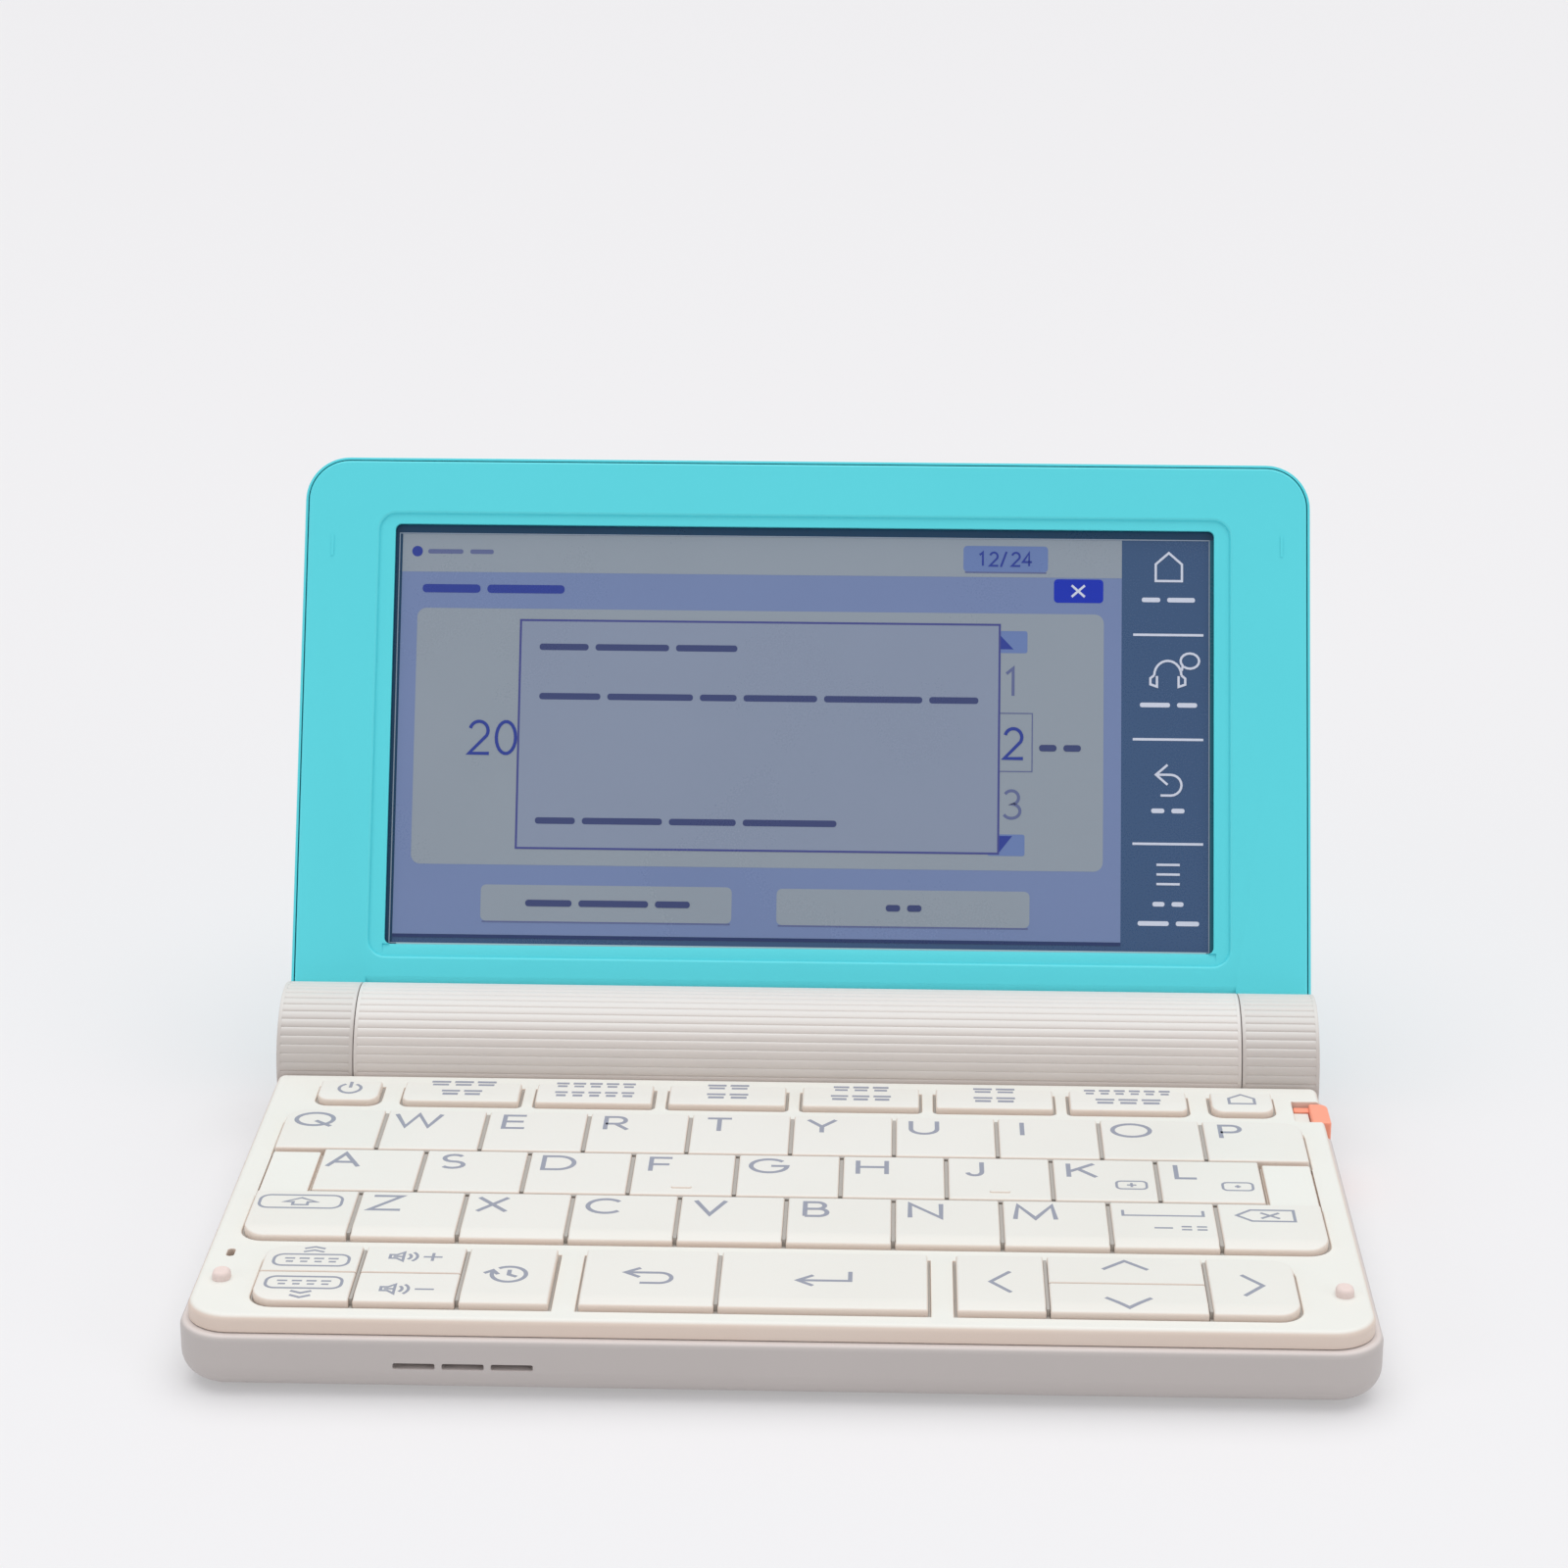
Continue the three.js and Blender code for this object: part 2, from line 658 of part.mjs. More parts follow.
function keyMat() {
  const edge = halfWidth - boardInset - matInset;
  const rear = functionFront + functionRowDepth + half(matInset);
  let mat = box(-edge, edge, frontY + boardInset + matInset, rear, matBottom, matTop);
  const well = half(stemSize) + seatGap;
  const wells = allKeys.map((key) => {
    const x = half(key.left + key.right);
    const y = half(key.front + key.rear);
    return box(x - well, x + well, y - well, y + well, matBottom - cutOverrun, matTop + cutOverrun);
  });
  for (const hole of wells) mat = mat.subtract(hole);
  return mat.subtract(penWay(matBottom - cutOverrun, matTop + cutOverrun));
}

function speaker() {
  const span = slotCount * slotLength + (slotCount - 1) * slotSpacing;
  const left = -halfWidth + slotStart - speakerMargin;
  const front = frontY + caseEdgeRadius + seatGap;
  return slab(roundedRect(left, left + span + 2 * speakerMargin, front, front + speakerDepth,
    Array(4).fill(speakerMargin), 2), caseFloor + seatGap, boardBottom - seatGap);
}

// Barrel

function batteryCells() {
  const cell = (from, to) => rod(axisY, axisHeight, cellRadius, from, to, cellSides);
  const nose = (from, to) => rod(axisY, axisHeight, cellNoseRadius, from, to, pinSides);
  return cell(-cellsHalf + cellNoseLength, 0).add(nose(-cellsHalf, -cellsHalf + 2 * cellNoseLength))
    .add(cell(cellNoseLength, cellsHalf)).add(nose(-cellNoseLength, 2 * cellNoseLength));
}

function knuckle(side) {
  const ribbed = ribbedArc(0, fullTurn, 0, 0);
  ribbed.pop();
  let body = beam(ribbed.reverse(), ...ordered(side * knuckleInner, side * knuckleOuter));
  const armOuter = knuckleOuter - armEnd;
  const arm = box(...ordered(side * (knuckleInner + armInset), side * armOuter), -armReach, -half(barrelRadius),
    lidFloor - seatGap - armThickness, lidFloor - seatGap);
  body = body.add(arm);
  if (side < 0) {
    const deep = -knuckleOuter + pinEndWall - seatGap;
    return body.subtract(rod(0, 0, pinRadius + seatGap, deep, -knuckleInner + cutOverrun, pinSides));
  }
  const tip = knuckleInner - trunnionLength;
  return body
    .add(rod(0, 0, trunnionRadius, tip, knuckleInner + cutOverrun, pinSides))
    .subtract(rod(0, 0, cableRadius, tip - cutOverrun, knuckleOuter - pinEndWall, pinSides));
}

// Lid

function lidEnvelope(inset, z0, z1, edge) {
  const radii = [lidCornerRadius - inset, lidCornerRadius - inset, 0, 0];
  const plan = roundedRect(-halfWidth + inset, halfWidth - inset, -lidReach + inset, 0, radii);
  return slab(plan, z0, z1, edge, 3);
}

// Everything near the axis that the lid has to clear: the knuckles, between them the barrel,
// and behind the heel the way that the battery cover takes when it is lifted off
function lidClearance(grow) {
  const endRun = halfWidth + cutOverrun;
  return rod(0, 0, knuckleClearRadius + grow, -endRun, endRun, borePoints)
    .add(rod(0, 0, lidClearRadius + grow, -knuckleInner, knuckleInner, borePoints))
    .add(box(-endRun, endRun, -lidHeel - grow, cutOverrun, 0, lidOuter + cutOverrun));
}

function lidBackCover() {
  const deep = lidRim - 2 * lidEdgeRadius;
  const endRun = halfWidth + cutOverrun;
  const above = box(-endRun, endRun, -lidReach - cutOverrun, cutOverrun, lidRim, lidOuter + cutOverrun);
  const cavity = lidEnvelope(lidWall, deep, lidFloor, lidEdgeRadius - lidWall).subtract(lidClearance(lidWall));
  const cover = lidEnvelope(0, deep, lidOuter, lidEdgeRadius).intersect(above)
    .subtract(cavity)
    .subtract(lidClearance(0));
  const armWay = (side) => box(
    ...ordered(side * (knuckleInner + armInset - seatGap), side * (knuckleOuter - armEnd + seatGap)),
    -armReach - seatGap, 0, lidFloor - 2 * seatGap - armThickness, lidFloor);
  return cover.subtract(bothSides(armWay));
}

function windowOutline(side, top, bottom, radius) {
  const radii = Array(4).fill(radius);
  return roundedRect(-windowHalf - side, windowHalf + side, -windowTop - top, -bezelBottom + bottom, radii, 3);
}

function lidBezel() {
  const outer = bezelShoulder;
  let bezel = slab(roundedRect(-halfWidth + outer, halfWidth - outer, -lidReach + outer, 0,
    [lidCornerRadius - outer, lidCornerRadius - outer, 0, 0]), faceRise, bezelBack);
  const tongueInset = lidWall + seatGap;
  const inner = tongueInset + tongueThickness;
  const ring = (inset, z0, z1) => slab(roundedRect(-halfWidth + inset, halfWidth - inset, -lidReach + inset,
    -lidReach + bezelTop + half(lidReach), [lidCornerRadius - inset, lidCornerRadius - inset, 0, 0]), z0, z1);
  const overTongue = bezelBack + tongueDepth + cutOverrun;
  const innerHalf = halfWidth - inner;
  bezel = bezel.add(ring(tongueInset, bezelBack - half(bezelThickness), bezelBack + tongueDepth)
    .subtract(ring(inner, bezelBack, overTongue))
    .subtract(box(-innerHalf, innerHalf, -half(lidReach), cutOverrun, bezelBack, overTongue)));
  const windowCut = slab(windowOutline(0, 0, 0, windowRadius), faceRise - cutOverrun, bezelBack + cutOverrun);
  const dish = windowOutline(dishSide, dishTop, dishBottom, dishRadius);
  const dishCut = slab(dish, faceRise - cutOverrun, faceRise + dishDepth);
  return bezel.subtract(windowCut).subtract(dishCut).subtract(lidClearance(0));
}

function touchDisplay() {
  const front = bezelBack + seatGap;
  const back = front + glassThickness + displayThickness;
  const over = glassOverlap;
  const under = glassOverlap - displayInset;
  return slab(windowOutline(over, over, over, windowRadius), front, front + glassThickness)
    .add(slab(windowOutline(under, under, under, 0), front + half(glassThickness), back));
}

// Assembly

const dictionary = new THREE.Group();
const lid = new THREE.Group();
lid.position.set(0, axisY, axisHeight);
lid.rotation.x = -THREE.MathUtils.degToRad(openingAngle);
dictionary.add(lid);

function place(parent, name, solid, material) {
  const mesh = new THREE.Mesh(toGeometry(solid), material);
  mesh.name = name;
  parent.add(mesh);
}

place(dictionary, 'base_case', baseCase(), casePlastic);
place(dictionary, 'keyboard_deck', keyboardDeck(), deckPlastic);
const fixedShell = ribbedShell(coverStart, coverEnd, -barrelHalf, barrelHalf);
place(dictionary, 'barrel_cover', fixedShell, barrelPlastic);
const hatchRun = hatchHalf - seatGap;
place(dictionary, 'battery_cover', ribbedShell(hatchStart, hatchEnd, -hatchRun, hatchRun), barrelPlastic);
place(dictionary, 'battery_cells', batteryCells(), cellJacket);
place(dictionary, 'circuit_board', circuitBoard(), boardGreen);
place(dictionary, 'key_mat', keyMat(), rubberGrey);
place(dictionary, 'speaker', speaker(), speakerBlack);
place(dictionary, 'stylus', stylus(), penPlastic);
for (const key of allKeys) place(dictionary, key.name, keyCap(key), keyPlastic);

place(lid, 'lid_back_cover', lidBackCover(), lidPlastic);
place(lid, 'lid_bezel', lidBezel(), lidPlastic);
place(lid, 'touch_display', touchDisplay(), glassBlack);
place(lid, 'knuckle_left', knuckle(-1), barrelPlastic);
place(lid, 'knuckle_right', knuckle(1), barrelPlastic);
const pin = rod(0, 0, pinRadius, -knuckleOuter + pinEndWall, -barrelHalf + pinIntoBlock, pinSides);
place(lid, 'hinge_pin', pin, steel);

export default dictionary;
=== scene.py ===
# %% [markdown]
# # A pocket electronic dictionary, dressed in Blender
# The solid model arrives as a frame: every part at its real size and place. This lesson builds the
# surface that a hand and an eye meet: the ribbed barrel, soft key edges, printed legends, glass.
# Nothing here moves a part. Each new piece is built where the frame says and rides on its body.

# %% Load the frame
import json
import math

import bmesh
import bpy
from mathutils import Matrix, Vector


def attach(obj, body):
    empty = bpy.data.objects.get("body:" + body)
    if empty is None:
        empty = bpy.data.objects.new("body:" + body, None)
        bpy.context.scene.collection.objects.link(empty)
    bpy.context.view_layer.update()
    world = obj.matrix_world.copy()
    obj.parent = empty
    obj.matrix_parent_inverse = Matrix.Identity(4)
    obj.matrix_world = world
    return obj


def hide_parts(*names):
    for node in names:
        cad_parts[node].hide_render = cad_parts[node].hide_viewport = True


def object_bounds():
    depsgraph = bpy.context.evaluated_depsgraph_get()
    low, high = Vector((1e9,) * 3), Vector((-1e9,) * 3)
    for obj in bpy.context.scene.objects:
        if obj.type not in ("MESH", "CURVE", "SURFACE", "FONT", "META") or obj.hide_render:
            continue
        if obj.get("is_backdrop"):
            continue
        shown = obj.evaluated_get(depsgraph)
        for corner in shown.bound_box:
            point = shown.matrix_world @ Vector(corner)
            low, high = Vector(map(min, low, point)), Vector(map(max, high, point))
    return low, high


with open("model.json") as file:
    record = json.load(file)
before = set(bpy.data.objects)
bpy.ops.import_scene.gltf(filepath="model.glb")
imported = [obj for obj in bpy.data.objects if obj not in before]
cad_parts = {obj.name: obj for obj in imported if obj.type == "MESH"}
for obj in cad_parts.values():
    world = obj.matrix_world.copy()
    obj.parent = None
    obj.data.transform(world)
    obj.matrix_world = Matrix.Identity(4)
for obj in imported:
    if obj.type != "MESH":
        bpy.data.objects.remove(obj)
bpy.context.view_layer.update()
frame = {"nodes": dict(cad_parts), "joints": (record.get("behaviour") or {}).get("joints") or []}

# %% [markdown]
# The script thinks in millimetres, as a workshop drawing does, and turns them into metres once,
# when a mesh is made. The hinge line and the lid's opening come from the frame's own joint. Two
# measures serve everywhere: a hair, and how far a cutter runs over the face that it cuts.

# %% Units, the hinge and the lid's own frame
MM = 0.001
HAIR, OVER = 0.02, 1.0
SIDES = ((-1, "left"), (1, "right"))

hinge = next(joint for joint in frame["joints"] if joint["name"] == "lid_hinge")
AXIS_Y, AXIS_Z = [value / MM for value in hinge["pos_m"][1:]]
opening = math.radians(-hinge["range_deg"][0])
to_world = Matrix.Identity(4)
to_lid = Matrix.Translation(Vector(hinge["pos_m"])) @ Matrix.Rotation(-opening, 4, "X")


def span(node, place=to_world):
    """Lowest and highest corner of a node, in millimetres, in the world or in the closed lid's frame."""
    back = place.inverted()
    points = [back @ vertex.co / MM for vertex in frame["nodes"][node].data.vertices]
    return [[pick(p[axis] for p in points) for axis in range(3)] for pick in (min, max)]


def middle(key):
    low, high = span(key)
    return (low[0] + high[0]) / 2, (low[1] + high[1]) / 2


def pair(side, a, b):
    """Two distances from the middle, on one side, as lowest and highest x."""
    return sorted((side * a, side * b))


case_low, case_high = span("base_case")
deck_low, deck_high = span("keyboard_deck")
HALF_WIDTH, FRONT = case_high[0], case_low[1]
BARREL_RADIUS = span("barrel_cover")[1][2] - AXIS_Z
BARREL_HALF = span("barrel_cover")[1][0]
HATCH_HALF = span("battery_cover")[1][0]
KNUCKLE_OUT, KNUCKLE_IN = [-corner[0] for corner in span("knuckle_left")]
print("hinge at", round(AXIS_Y, 2), round(AXIS_Z, 2), "opening", round(math.degrees(opening), 1))

# %% [markdown]
# The camera stands where the photographer stood: 0.45 m in front of the keys, looking 18 degrees
# down, with a long lens. The numbers come from matching edges of the part to the picture.

# %% Camera
camera_at = Vector((11.82, -413.4, 192.15)) * MM
tilt_down, turn, roll = 18.199, 1.744, 0.112
lens_mm, sensor_mm = 86.94, 36.0

look = Matrix.Rotation(math.radians(roll), 3, "Z") @ Matrix.Rotation(math.radians(tilt_down), 3, "X")
look = look @ Matrix.Rotation(math.radians(turn), 3, "Y") @ Matrix(((1, 0, 0), (0, 0, -1), (0, 1, 0)))
camera_data = bpy.data.cameras.new("camera")
camera_data.lens = lens_mm
camera_data.sensor_width = sensor_mm
camera_data.clip_start = 0.01
camera = bpy.data.objects.new("camera", camera_data)
bpy.context.scene.collection.objects.link(camera)
turned_back = Matrix((look[0], -look[1], -look[2])).transposed().to_4x4()
camera.matrix_world = Matrix.Translation(camera_at) @ turned_back
bpy.context.scene.camera = camera
print("camera", [round(c, 3) for c in camera.location], "lens", lens_mm)

# %% [markdown]
# Light for white plastic is a balance. A bright, even surround keeps the ivory near white, and one
# wide soft sun above gives the tops more light than the fronts, so the keys can be read. Two panels
# fill the fronts from the sides, where the screen doesn't mirror them.

# %% Floor and light
scene = bpy.context.scene
scene.view_settings.view_transform = "Standard"
world = bpy.data.worlds.new("studio")
world.use_nodes = True
surround = world.node_tree.nodes["Background"]
surround.inputs["Color"].default_value = (0.95, 0.96, 1.0, 1.0)
surround.inputs["Strength"].default_value = 0.475
scene.world = world


def soft_panel(name, place, aim, size, power, tint):
    data = bpy.data.lights.new(name, "AREA")
    data.shape = "RECTANGLE"
    data.size, data.size_y = size
    data.energy = power
    data.color = tint
    lamp = bpy.data.objects.new(name, data)
    scene.collection.objects.link(lamp)
    lamp.location = place
    lamp.rotation_mode = "QUATERNION"
    lamp.rotation_quaternion = (Vector(place) - Vector(aim)).to_track_quat("Z", "Y")


sky = bpy.data.lights.new("overhead", "SUN")
sky.energy = 1.95
sky.angle = math.radians(75)
sky.color = (1.0, 0.985, 0.955)
sky_lamp = bpy.data.objects.new("overhead", sky)
scene.collection.objects.link(sky_lamp)
sky_lamp.rotation_euler = (math.radians(-6), math.radians(2), 0)
for side, name in SIDES:
    soft_panel(f"window_{name}", place=(side * 1.15, -0.9, 0.5), aim=(0, 0, 0.04), size=(0.8, 0.7),
               power=2.6, tint=(0.97, 0.98, 1.0))

FLOOR_HALF = 3.0
corners = ((-1, -1), (1, -1), (1, 1), (-1, 1))
floor_mesh = bpy.data.meshes.new("floor")
floor_mesh.from_pydata([(x * FLOOR_HALF, y * FLOOR_HALF, case_low[2] * MM) for x, y in corners],
                       [], [(0, 1, 2, 3)])
floor = bpy.data.objects.new("floor", floor_mesh)
scene.collection.objects.link(floor)
floor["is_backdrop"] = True

# %% [markdown]
# Most parts of a moulded product are one idea: an outline, raised to a height, with its edges
# rounded. So the first helpers draw an outline with arcs, and loft it through a few insets. A real
# fillet made of rings catches the light as the mould's edge does, and never depends on a modifier.

# %% Outlines
ARC_STEPS = 10


def arc(cx, cy, rx, ry, start, end, steps=ARC_STEPS):
    """Points along an ellipse, in degrees from the x axis."""
    turns = [math.radians(start + (end - start) * i / steps) for i in range(steps + 1)]
    return [(cx + rx * math.cos(t), cy + ry * math.sin(t)) for t in turns]


def rounded(x0, x1, y0, y1, radii, steps=ARC_STEPS):
    """A rectangle as a function of its inset. The radii go front left, front right, rear right, rear left."""
    def outline(inset=0.0):
        points = []
        places = ((x0, y0, 1, 1), (x1, y0, -1, 1), (x1, y1, -1, -1), (x0, y1, 1, -1))
        for (x, y, sx, sy), radius, start in zip(places, radii, (180, 270, 0, 90)):
            if radius <= 0:
                points.append((x + sx * inset, y + sy * inset))
                continue
            r = max(radius - inset, HAIR)
            points += arc(x + sx * (inset + r), y + sy * (inset + r), r, r, start, start + 90, steps)
        return points
    return outline


def centred(x, y, half_x, half_y, corner, steps=ARC_STEPS):
    """A rounded rectangle about its middle, with four like corners."""
    return rounded(x - half_x, x + half_x, y - half_y, y + half_y, (corner,) * 4, steps)


def round_barrel(radius, start, end, steps=None):
    """Points round the hinge line in (y, z): 0 degrees is the front, 90 the top."""
    steps = steps or max(2, round(abs(end - start) / 4))
    turns = [math.radians(start + (end - start) * i / steps) for i in range(steps + 1)]
    return [(AXIS_Y - radius * math.cos(t), AXIS_Z + radius * math.sin(t)) for t in turns]


# %% Lofts: one closed skin through rings of equal length
def loft(rings):
    count = len(rings[0])
    points = [point for ring in rings for point in ring]
    faces = [tuple(reversed(range(count)))]
    for level in range(len(rings) - 1):
        low, high = level * count, (level + 1) * count
        faces += [(low + i, low + (i + 1) % count, high + (i + 1) % count, high + i) for i in range(count)]
    faces.append(tuple((len(rings) - 1) * count + i for i in range(count)))
    return points, faces


def levels(z0, z1, low_edge=0.0, high_edge=0.0, steps=5):
    """Inset and height of each ring of a slab whose two rims are rounded."""
    quarter = [math.pi / 2 * i / steps for i in range(steps + 1)]
    low = [(low_edge * (1 - math.sin(a)), z0 + low_edge * (1 - math.cos(a))) for a in quarter]
    high = [(high_edge * (1 - math.cos(a)), z1 - high_edge * (1 - math.sin(a))) for a in quarter]
    return (low if low_edge else [(0.0, z0)]) + (high if high_edge else [(0.0, z1)])


def ringed(outline, path):
    """A loft through rings of one outline, each with its own inset and height."""
    return loft([[(x, y, z) for x, y in outline(inset)] for inset, z in path])


def slab(outline, z0, z1, low_edge=0.0, high_edge=0.0, steps=5):
    return ringed(outline, levels(z0, z1, low_edge, high_edge, steps))


def flared_cutter(outline, z0, z1, flare, steps=4):
    """Cuts a window whose rim at z1 is left rounded: the cutter opens out as it reaches the surface.

    With z1 below z0 it cuts upwards, into a face that looks down."""
    way = math.copysign(1, z1 - z0)
    turns = [math.pi / 2 * i / steps for i in range(steps + 1)]
    path = [(0.0, z0)]
    path += [(-flare * (1 - math.cos(t)), z1 - way * flare * (1 - math.sin(t))) for t in turns]
    path.append((-flare, z1 + way * OVER))
    return ringed(outline, path if way > 0 else path[::-1])


def beam(profile, x0, x1):
    """A profile in (y, z), drawn anticlockwise seen from +X, run along X."""
    return loft([[(x, y, z) for y, z in profile] for x in (x0, x1)])


def block(x0, x1, y0, y1, z0, z1):
    return slab(rounded(x0, x1, y0, y1, (0, 0, 0, 0)), z0, z1)


def turned(stations, y=None, z=None, sides=96):
    """A round body along X through stations of (x, radius)."""
    y = AXIS_Y if y is None else y
    z = AXIS_Z if z is None else z
    angles = [2 * math.pi * i / sides for i in range(sides)]
    return loft([[(x, y + r * math.cos(a), z + r * math.sin(a)) for a in angles] for x, r in stations])


def together(*solids):
    """Several closed skins as one list of points and faces."""
    points, faces = [], []
    for more_points, more_faces in solids:
        start = len(points)
        points += more_points
        faces += [tuple(i + start for i in face) for face in more_faces]
    return points, faces


# %% [markdown]
# Windows and seats are Boolean cuts with the exact solver. Each cut is settled at once: the
# evaluated shape becomes the object's own mesh, so no live modifier is left for later steps.

# %% From solids to objects
def settle(ob):
    graph = bpy.context.evaluated_depsgraph_get()
    shape = bpy.data.meshes.new_from_object(ob.evaluated_get(graph))
    ob.modifiers.clear()
    old, ob.data = ob.data, shape
    bpy.data.meshes.remove(old)


def make(name, solid, place=to_world):
    points, faces = solid
    shape = bpy.data.meshes.new(name)
    shape.from_pydata([place @ (Vector(point) * MM) for point in points], [], faces)
    form = bmesh.new()
    form.from_mesh(shape)
    if form.calc_volume(signed=True) < 0:
        bmesh.ops.reverse_faces(form, faces=form.faces)
        form.to_mesh(shape)
    form.free()
    ob = bpy.data.objects.new(name, shape)
    scene.collection.objects.link(ob)
    return ob


def combine(ob, tool, operation="DIFFERENCE"):
    """Cuts an object with another, or joins the other to it; the other one is used up."""
    cut = ob.modifiers.new("cut", "BOOLEAN")
    cut.object, cut.operation, cut.solver = tool, operation, "EXACT"
    settle(ob)
    bpy.data.objects.remove(tool)


def carve(ob, solid, place=to_world):
    combine(ob, make("tool", solid, place))


def add(ob, solid, place=to_world):
    combine(ob, make("tool", solid, place), "UNION")


def dress(ob, material, body, replaces=(), sharp=32.0):
    """Smooth shading that breaks at real edges, a finish, and the body that the piece rides on."""
    form = bmesh.new()
    form.from_mesh(ob.data)
    bmesh.ops.remove_doubles(form, verts=form.verts, dist=HAIR * MM / 10)
    for face in form.faces:
        face.smooth = True
    for edge in form.edges:
        edge.smooth = len(edge.link_faces) == 2 and edge.calc_face_angle(math.pi) < math.radians(sharp)
    form.to_mesh(ob.data)
    form.free()
    even = ob.modifiers.new("even", "WEIGHTED_NORMAL")
    even.keep_sharp = True
    settle(ob)
    ob.data.materials.clear()
    ob.data.materials.append(material)
    ob.data.name = ob.name
    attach(ob, body)
    if replaces:
        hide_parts(*replaces)


# %% [markdown]
# Every moulded face of this product has the same two traits: a spark-eroded grain, too fine to see
# but enough to soften each highlight, and a slight unevenness from handling. Both go into one
# shader group, and each plastic sets its own grain size, depth and tint. The group also paints
# shade: as a face turns away from straight up, its colour blends to a side colour, so tops and
# sloping faces differ as light from above would make them.

# %% Shader group: moulded skin
def group_tree(name, kind, inputs, outputs):
    """A node group: its tree, the identifiers of its inputs by label, its start and its end."""
    tree = bpy.data.node_groups.new(name, kind)
    sockets = {}
    for label, value_kind in inputs:
        socket = tree.interface.new_socket(label, in_out="INPUT", socket_type=f"NodeSocket{value_kind}")
        sockets[label] = socket.identifier
    for label, value_kind in outputs:
        tree.interface.new_socket(label, in_out="OUTPUT", socket_type=f"NodeSocket{value_kind}")
    return tree, sockets, tree.nodes.new("NodeGroupInput"), tree.nodes.new("NodeGroupOutput")


def wire(tree, *pairs):
    for source, target in pairs:
        tree.links.new(source, target)


def node(tree, kind, values=None, **settings):
    """A new node with its settings, and with values on some of its inputs."""
    made = tree.nodes.new(kind)
    for key, value in settings.items():
        setattr(made, key, value)
    for label, value in (values or {}).items():
        made.inputs[label].default_value = value
    return made


def maths(tree, operation, a, b):
    """The result of a Math node whose inputs are numbers or other nodes' outputs."""
    made = node(tree, "ShaderNodeMath", operation=operation)
    for socket, value in zip(made.inputs, (a, b)):
        if isinstance(value, (int, float)):
            socket.default_value = value
        else:
            tree.links.new(value, socket)
    return made.outputs[0]


skin, _, skin_in, skin_out = group_tree(
    "moulded_skin", "ShaderNodeTree",
    (("Color", "Color"), ("Handled Color", "Color"), ("Painted Side Shade", "Color"), ("Roughness", "Float"),
     ("Grains per mm", "Float"), ("Handling", "Float")),
    (("Color", "Color"), ("Roughness", "Float"), ("Height", "Float")))
where = node(skin, "ShaderNodeTexCoord")
grain = node(skin, "ShaderNodeTexNoise", {"Detail": 2.0})
cloud = node(skin, "ShaderNodeTexNoise", {"Scale": 38.0, "Detail": 4.0})
smudge = node(skin, "ShaderNodeMapRange", {"From Min": 0.45, "From Max": 0.8})
blend = node(skin, "ShaderNodeMix", data_type="RGBA")
facing = node(skin, "ShaderNodeSeparateXYZ")
# painted shade: the colour goes from Color to Painted Side Shade as the normal turns from straight up
side_shade_mask = node(skin, "ShaderNodeMapRange", {"From Min": 0.97, "From Max": 0.5}, interpolation_type="SMOOTHSTEP")
side_shade_blend = node(skin, "ShaderNodeMix", data_type="RGBA")
grain_scale = maths(skin, "MULTIPLY", skin_in.outputs["Grains per mm"], 1 / MM)
handled = maths(skin, "MULTIPLY", smudge.outputs[0], skin_in.outputs["Handling"])
rough_grain = maths(skin, "MULTIPLY", grain.outputs["Fac"], 0.08)
rough_worn = maths(skin, "MULTIPLY", handled, -0.25)
wire(skin,
     (where.outputs["Object"], grain.inputs["Vector"]),
     (where.outputs["Object"], cloud.inputs["Vector"]),
     (grain_scale, grain.inputs["Scale"]),
     (cloud.outputs["Fac"], smudge.inputs["Value"]),
     (handled, blend.inputs["Factor"]),
     (where.outputs["Normal"], facing.inputs[0]),
     (facing.outputs["Z"], side_shade_mask.inputs["Value"]),
     (side_shade_mask.outputs[0], side_shade_blend.inputs["Factor"]),
     (skin_in.outputs["Color"], side_shade_blend.inputs[6]),
     (skin_in.outputs["Painted Side Shade"], side_shade_blend.inputs[7]),
     (side_shade_blend.outputs[2], blend.inputs[6]),
     (skin_in.outputs["Handled Color"], blend.inputs[7]),
     (blend.outputs[2], skin_out.inputs["Color"]),
     (maths(skin, "ADD", maths(skin, "ADD", skin_in.outputs["Roughness"], rough_grain), rough_worn),
      skin_out.inputs["Roughness"]),
     (grain.outputs["Fac"], skin_out.inputs["Height"]))
print("shader group:", skin.name, [socket.name for socket in skin_out.inputs][:3])


# %% Finishes of the moulded parts
def principled(name, values):
    """A new material: itself, its tree and its Principled shader with some values set."""
    material = bpy.data.materials.new(name)
    material.use_nodes = True
    shader = material.node_tree.nodes["Principled BSDF"]
    for label, value in values.items():
        shader.inputs[label].default_value = value
    return material, material.node_tree, shader


def moulded(name, color, handled_color, roughness, grains=6.0, handling=0.2, depth=0.004, coat=0.0,
            side=None):
    """Plastic or rubber: its tint, the tint where hands rub it, and a painted shade colour for its sloping
    faces.
    """
    material, tree, shader = principled(name, {"Coat Weight": coat, "Coat Roughness": 0.12})
    surface = node(tree, "ShaderNodeGroup", {
        "Color": (*color, 1), "Handled Color": (*handled_color, 1), "Painted Side Shade": (*(side or color), 1),
        "Roughness": roughness, "Grains per mm": grains, "Handling": handling}, node_tree=skin)
    bump = node(tree, "ShaderNodeBump", {"Distance": depth * MM, "Strength": 0.6})
    wire(tree,
         (surface.outputs["Color"], shader.inputs["Base Color"]),
         (surface.outputs["Roughness"], shader.inputs["Roughness"]),
         (surface.outputs["Height"], bump.inputs["Height"]),
         (bump.outputs["Normal"], shader.inputs["Normal"]))
    return material
